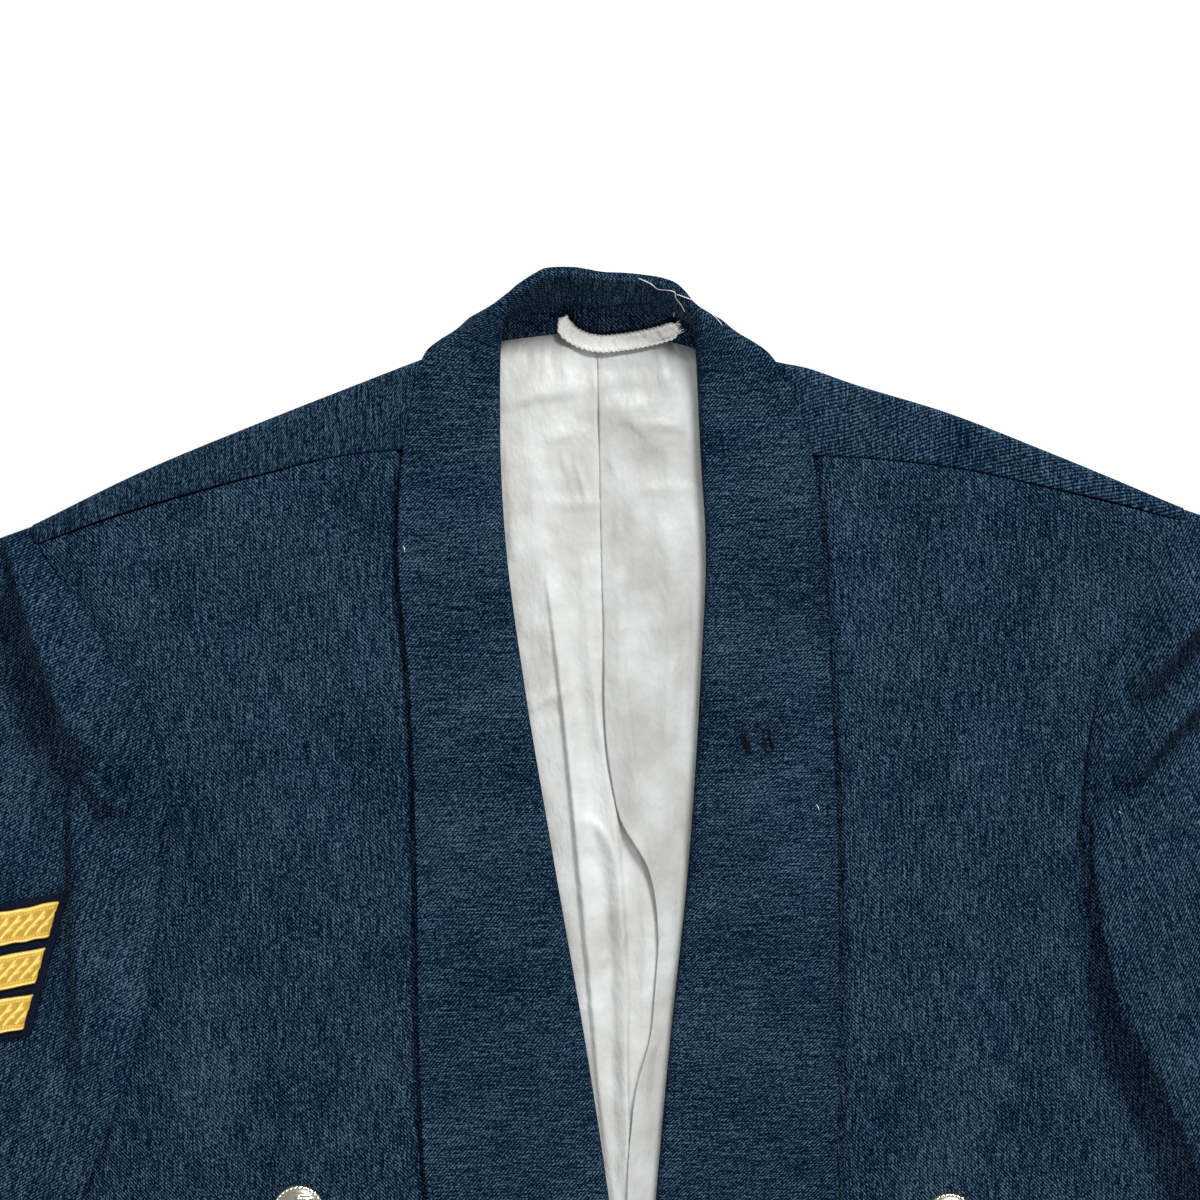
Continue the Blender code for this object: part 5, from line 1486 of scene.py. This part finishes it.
def medal_loops(tree, finish):
    """Each loop is two thin strands side by side, joined and sewn down at both ends."""
    for number, (x, y, length, bow, apart, slant) in enumerate(MEDAL_LOOPS, 1):
        base = height_near(tree, x, y, 2.0)
        strands = []
        for way in (-1, 1):
            line = []
            for share in np.linspace(0, 1, 40):
                arch = math.sin(math.pi * share)
                spread = way * apart * min(1.0, 4.5 * arch)
                across = x - bow * math.sin(math.tau * share) * 0.6 + slant * (share - 0.5) + spread
                height = base - 0.2 + 0.9 * arch**0.5 + 0.12 * math.sin(share * 60 + way)
                line.append((across, y + length * (0.5 - share), height))
            strands.append(line)
        made = tubes(f"medal_thread_{number}", strands, 0.4, finish, sides=7)
        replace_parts(made, f"medal_loop_{number}")


def neck_stitches(tree, finish):
    """The wavy line of a dark seam across the back of the neck."""
    path = photo_path(NECK_SEAM, 60)
    line = [(x, y, max(height_on(tree, x, y), FACING_TOP) + 0.05) for x, y in path]
    tubes("neck_seam", [line], 0.3, finish, sides=6, tip=0.5)


def loose_threads(tree, under, finish):
    """Stray ends of white thread on the collar beside the hanger, and lint on the cloth."""
    lines = []
    for pixels in THREAD_ENDS:
        lines.append([(x, y, height_on(tree, x, y) + 0.35) for x, y in photo_path(pixels, 30)])
    for pixels in LINT:
        path = [photo_point(u, v) for u, v in pixels]
        lines.append([(x, y, max(height_on(cover, x, y) for cover in (tree, *under)) + 0.3) for x, y in path])
    tubes("loose_threads", lines, 0.17, finish, sides=5, tip=0.6)


def set_camera():
    camera = bpy.data.cameras.new("Camera")
    camera.sensor_width = 36.0
    camera.lens = camera.sensor_width * (CAMERA_HEIGHT - FOCUS_HEIGHT) / (PHOTO_WIDTH * PHOTO_SCALE)
    camera.clip_end = 50.0
    made = bpy.data.objects.new("Camera", camera)
    made.location = np.array((*photo_point(*PHOTO_CENTRE), CAMERA_HEIGHT)) * METRES + SHIFT
    made.rotation_euler = (0.0, 0.0, -PHOTO_TURN)
    bpy.context.scene.collection.objects.link(made)
    bpy.context.scene.camera = made


def set_lights():
    world = bpy.data.worlds.new("World")
    world.use_nodes = True
    background = world.node_tree.nodes["Background"]
    background.inputs["Color"].default_value = (0.97, 0.985, 1.0, 1.0)
    background.inputs["Strength"].default_value = 0.28
    bpy.context.scene.world = world
    for name, where, size, power in LIGHTS:
        light = bpy.data.lights.new(name, "AREA")
        light.shape, light.size, light.energy = "SQUARE", size, power
        made = bpy.data.objects.new(name, light)
        made.location = where
        made.rotation_euler = (-Vector(where)).to_track_quat("-Z", "Y").to_euler()
        bpy.context.scene.collection.objects.link(made)


def lay_floor():
    mesh = bpy.data.meshes.new("floor")
    corners = [(x * FLOOR_REACH, y * FLOOR_REACH, 0) for x, y in ((-1, -1), (1, -1), (1, 1), (-1, 1))]
    mesh.from_pydata(corners, [], [(0, 1, 2, 3)])
    made = bpy.data.objects.new("floor", mesh)
    made.location.z = -0.0002
    finish = Nodes("white_floor")
    finish.set(Base_Color=(0.95, 0.95, 0.95, 1.0), Roughness=0.9, Specular_IOR_Level=0.1)
    mesh.materials.append(finish.material)
    bpy.context.scene.collection.objects.link(made)


def dress_back():
    grids, flats = back()
    cloth("back_cloth", grids, BACK_WALL, wool("back_wool_twill"), "back", flats, flipped=True)
    finish = wool("facing_wool_twill", seed=3.0)
    cloth("facing_cloth", [facing()], FACING_WALL, finish, "back_neck_facing", rests_on=["back_cloth"])


def dress_side(side, seed, painted_shade):
    """A front, its half of the lining and its sleeve. Returns the sleeve's surface."""
    laid = {"flipped": side == RIGHT, "rests_on": ["back_cloth"]}
    finish = wool(f"front_{side}_wool_twill", seed=seed)
    cloth(f"front_{side}_cloth", [front(side)], FRONT_WALL, finish, f"front_{side}", **laid)
    finish = satin(f"lining_{side}_satin", painted_shade)
    cloth(f"lining_{side}_cloth", [lining(side)], LINING_WALL, finish, f"lining_{side}", **laid)
    grid = sleeve(side)
    laid["rests_on"] = ["back_cloth", f"front_{side}_cloth"]
    laid["flat_size"] = np.ptp(cloth_lengths(grid).reshape(-1, 2), axis=0)
    finish = wool(f"sleeve_{side}_wool_twill", seed=seed + 20)
    flats = [sleeve_grain(side, grid)]
    cloth(f"sleeve_{side}_cloth", [grid], SLEEVE_WALL, finish, f"sleeve_{side}", flats, around=True, **laid)
    return surface_of(grid, around=True)


def dress_collar():
    """The collar in its place. Returns its surface."""
    grid = collar_relief(collar())
    finish = wool("collar_wool_twill", across=True, seed=5.0)
    below, flats = ["back_cloth", "front_right_cloth", "front_left_cloth"], [cloth_lengths(grid)]
    cloth("collar_cloth", [grid], COLLAR_WALL, finish, "shawl_collar", flats, flipped=True, rests_on=below)
    return surface_of(grid)


set_camera()
set_lights()
lay_floor()
bpy.context.scene.view_settings.view_transform = "Standard"

dress_back()
# The right half of the lining keeps 0.96 of the satin's colour and the left 0.83: painted shade for the
# halves' different sheen
right_sleeve = dress_side(RIGHT, 7.0, 0.96)
badge(right_sleeve)
left_sleeve = dress_side(LEFT, 11.0, 0.83)
collar_surface = dress_collar()
white_thread = plain("white_thread", (0.78, 0.77, 0.70), 0.6, 0.4)
hanger(plain("hanger_tape_weave", (0.74, 0.735, 0.69), 0.45, 0.8, spread=0.09), white_thread)
loose_threads(collar_surface, (right_sleeve, left_sleeve), white_thread)
dark_thread = plain("dark_twisted_thread", (0.006, 0.006, 0.009), 0.9, 0.4, shine=0.05)
medal_loops(collar_surface, dark_thread)
neck_stitches(collar_surface, dark_thread)
buttons()
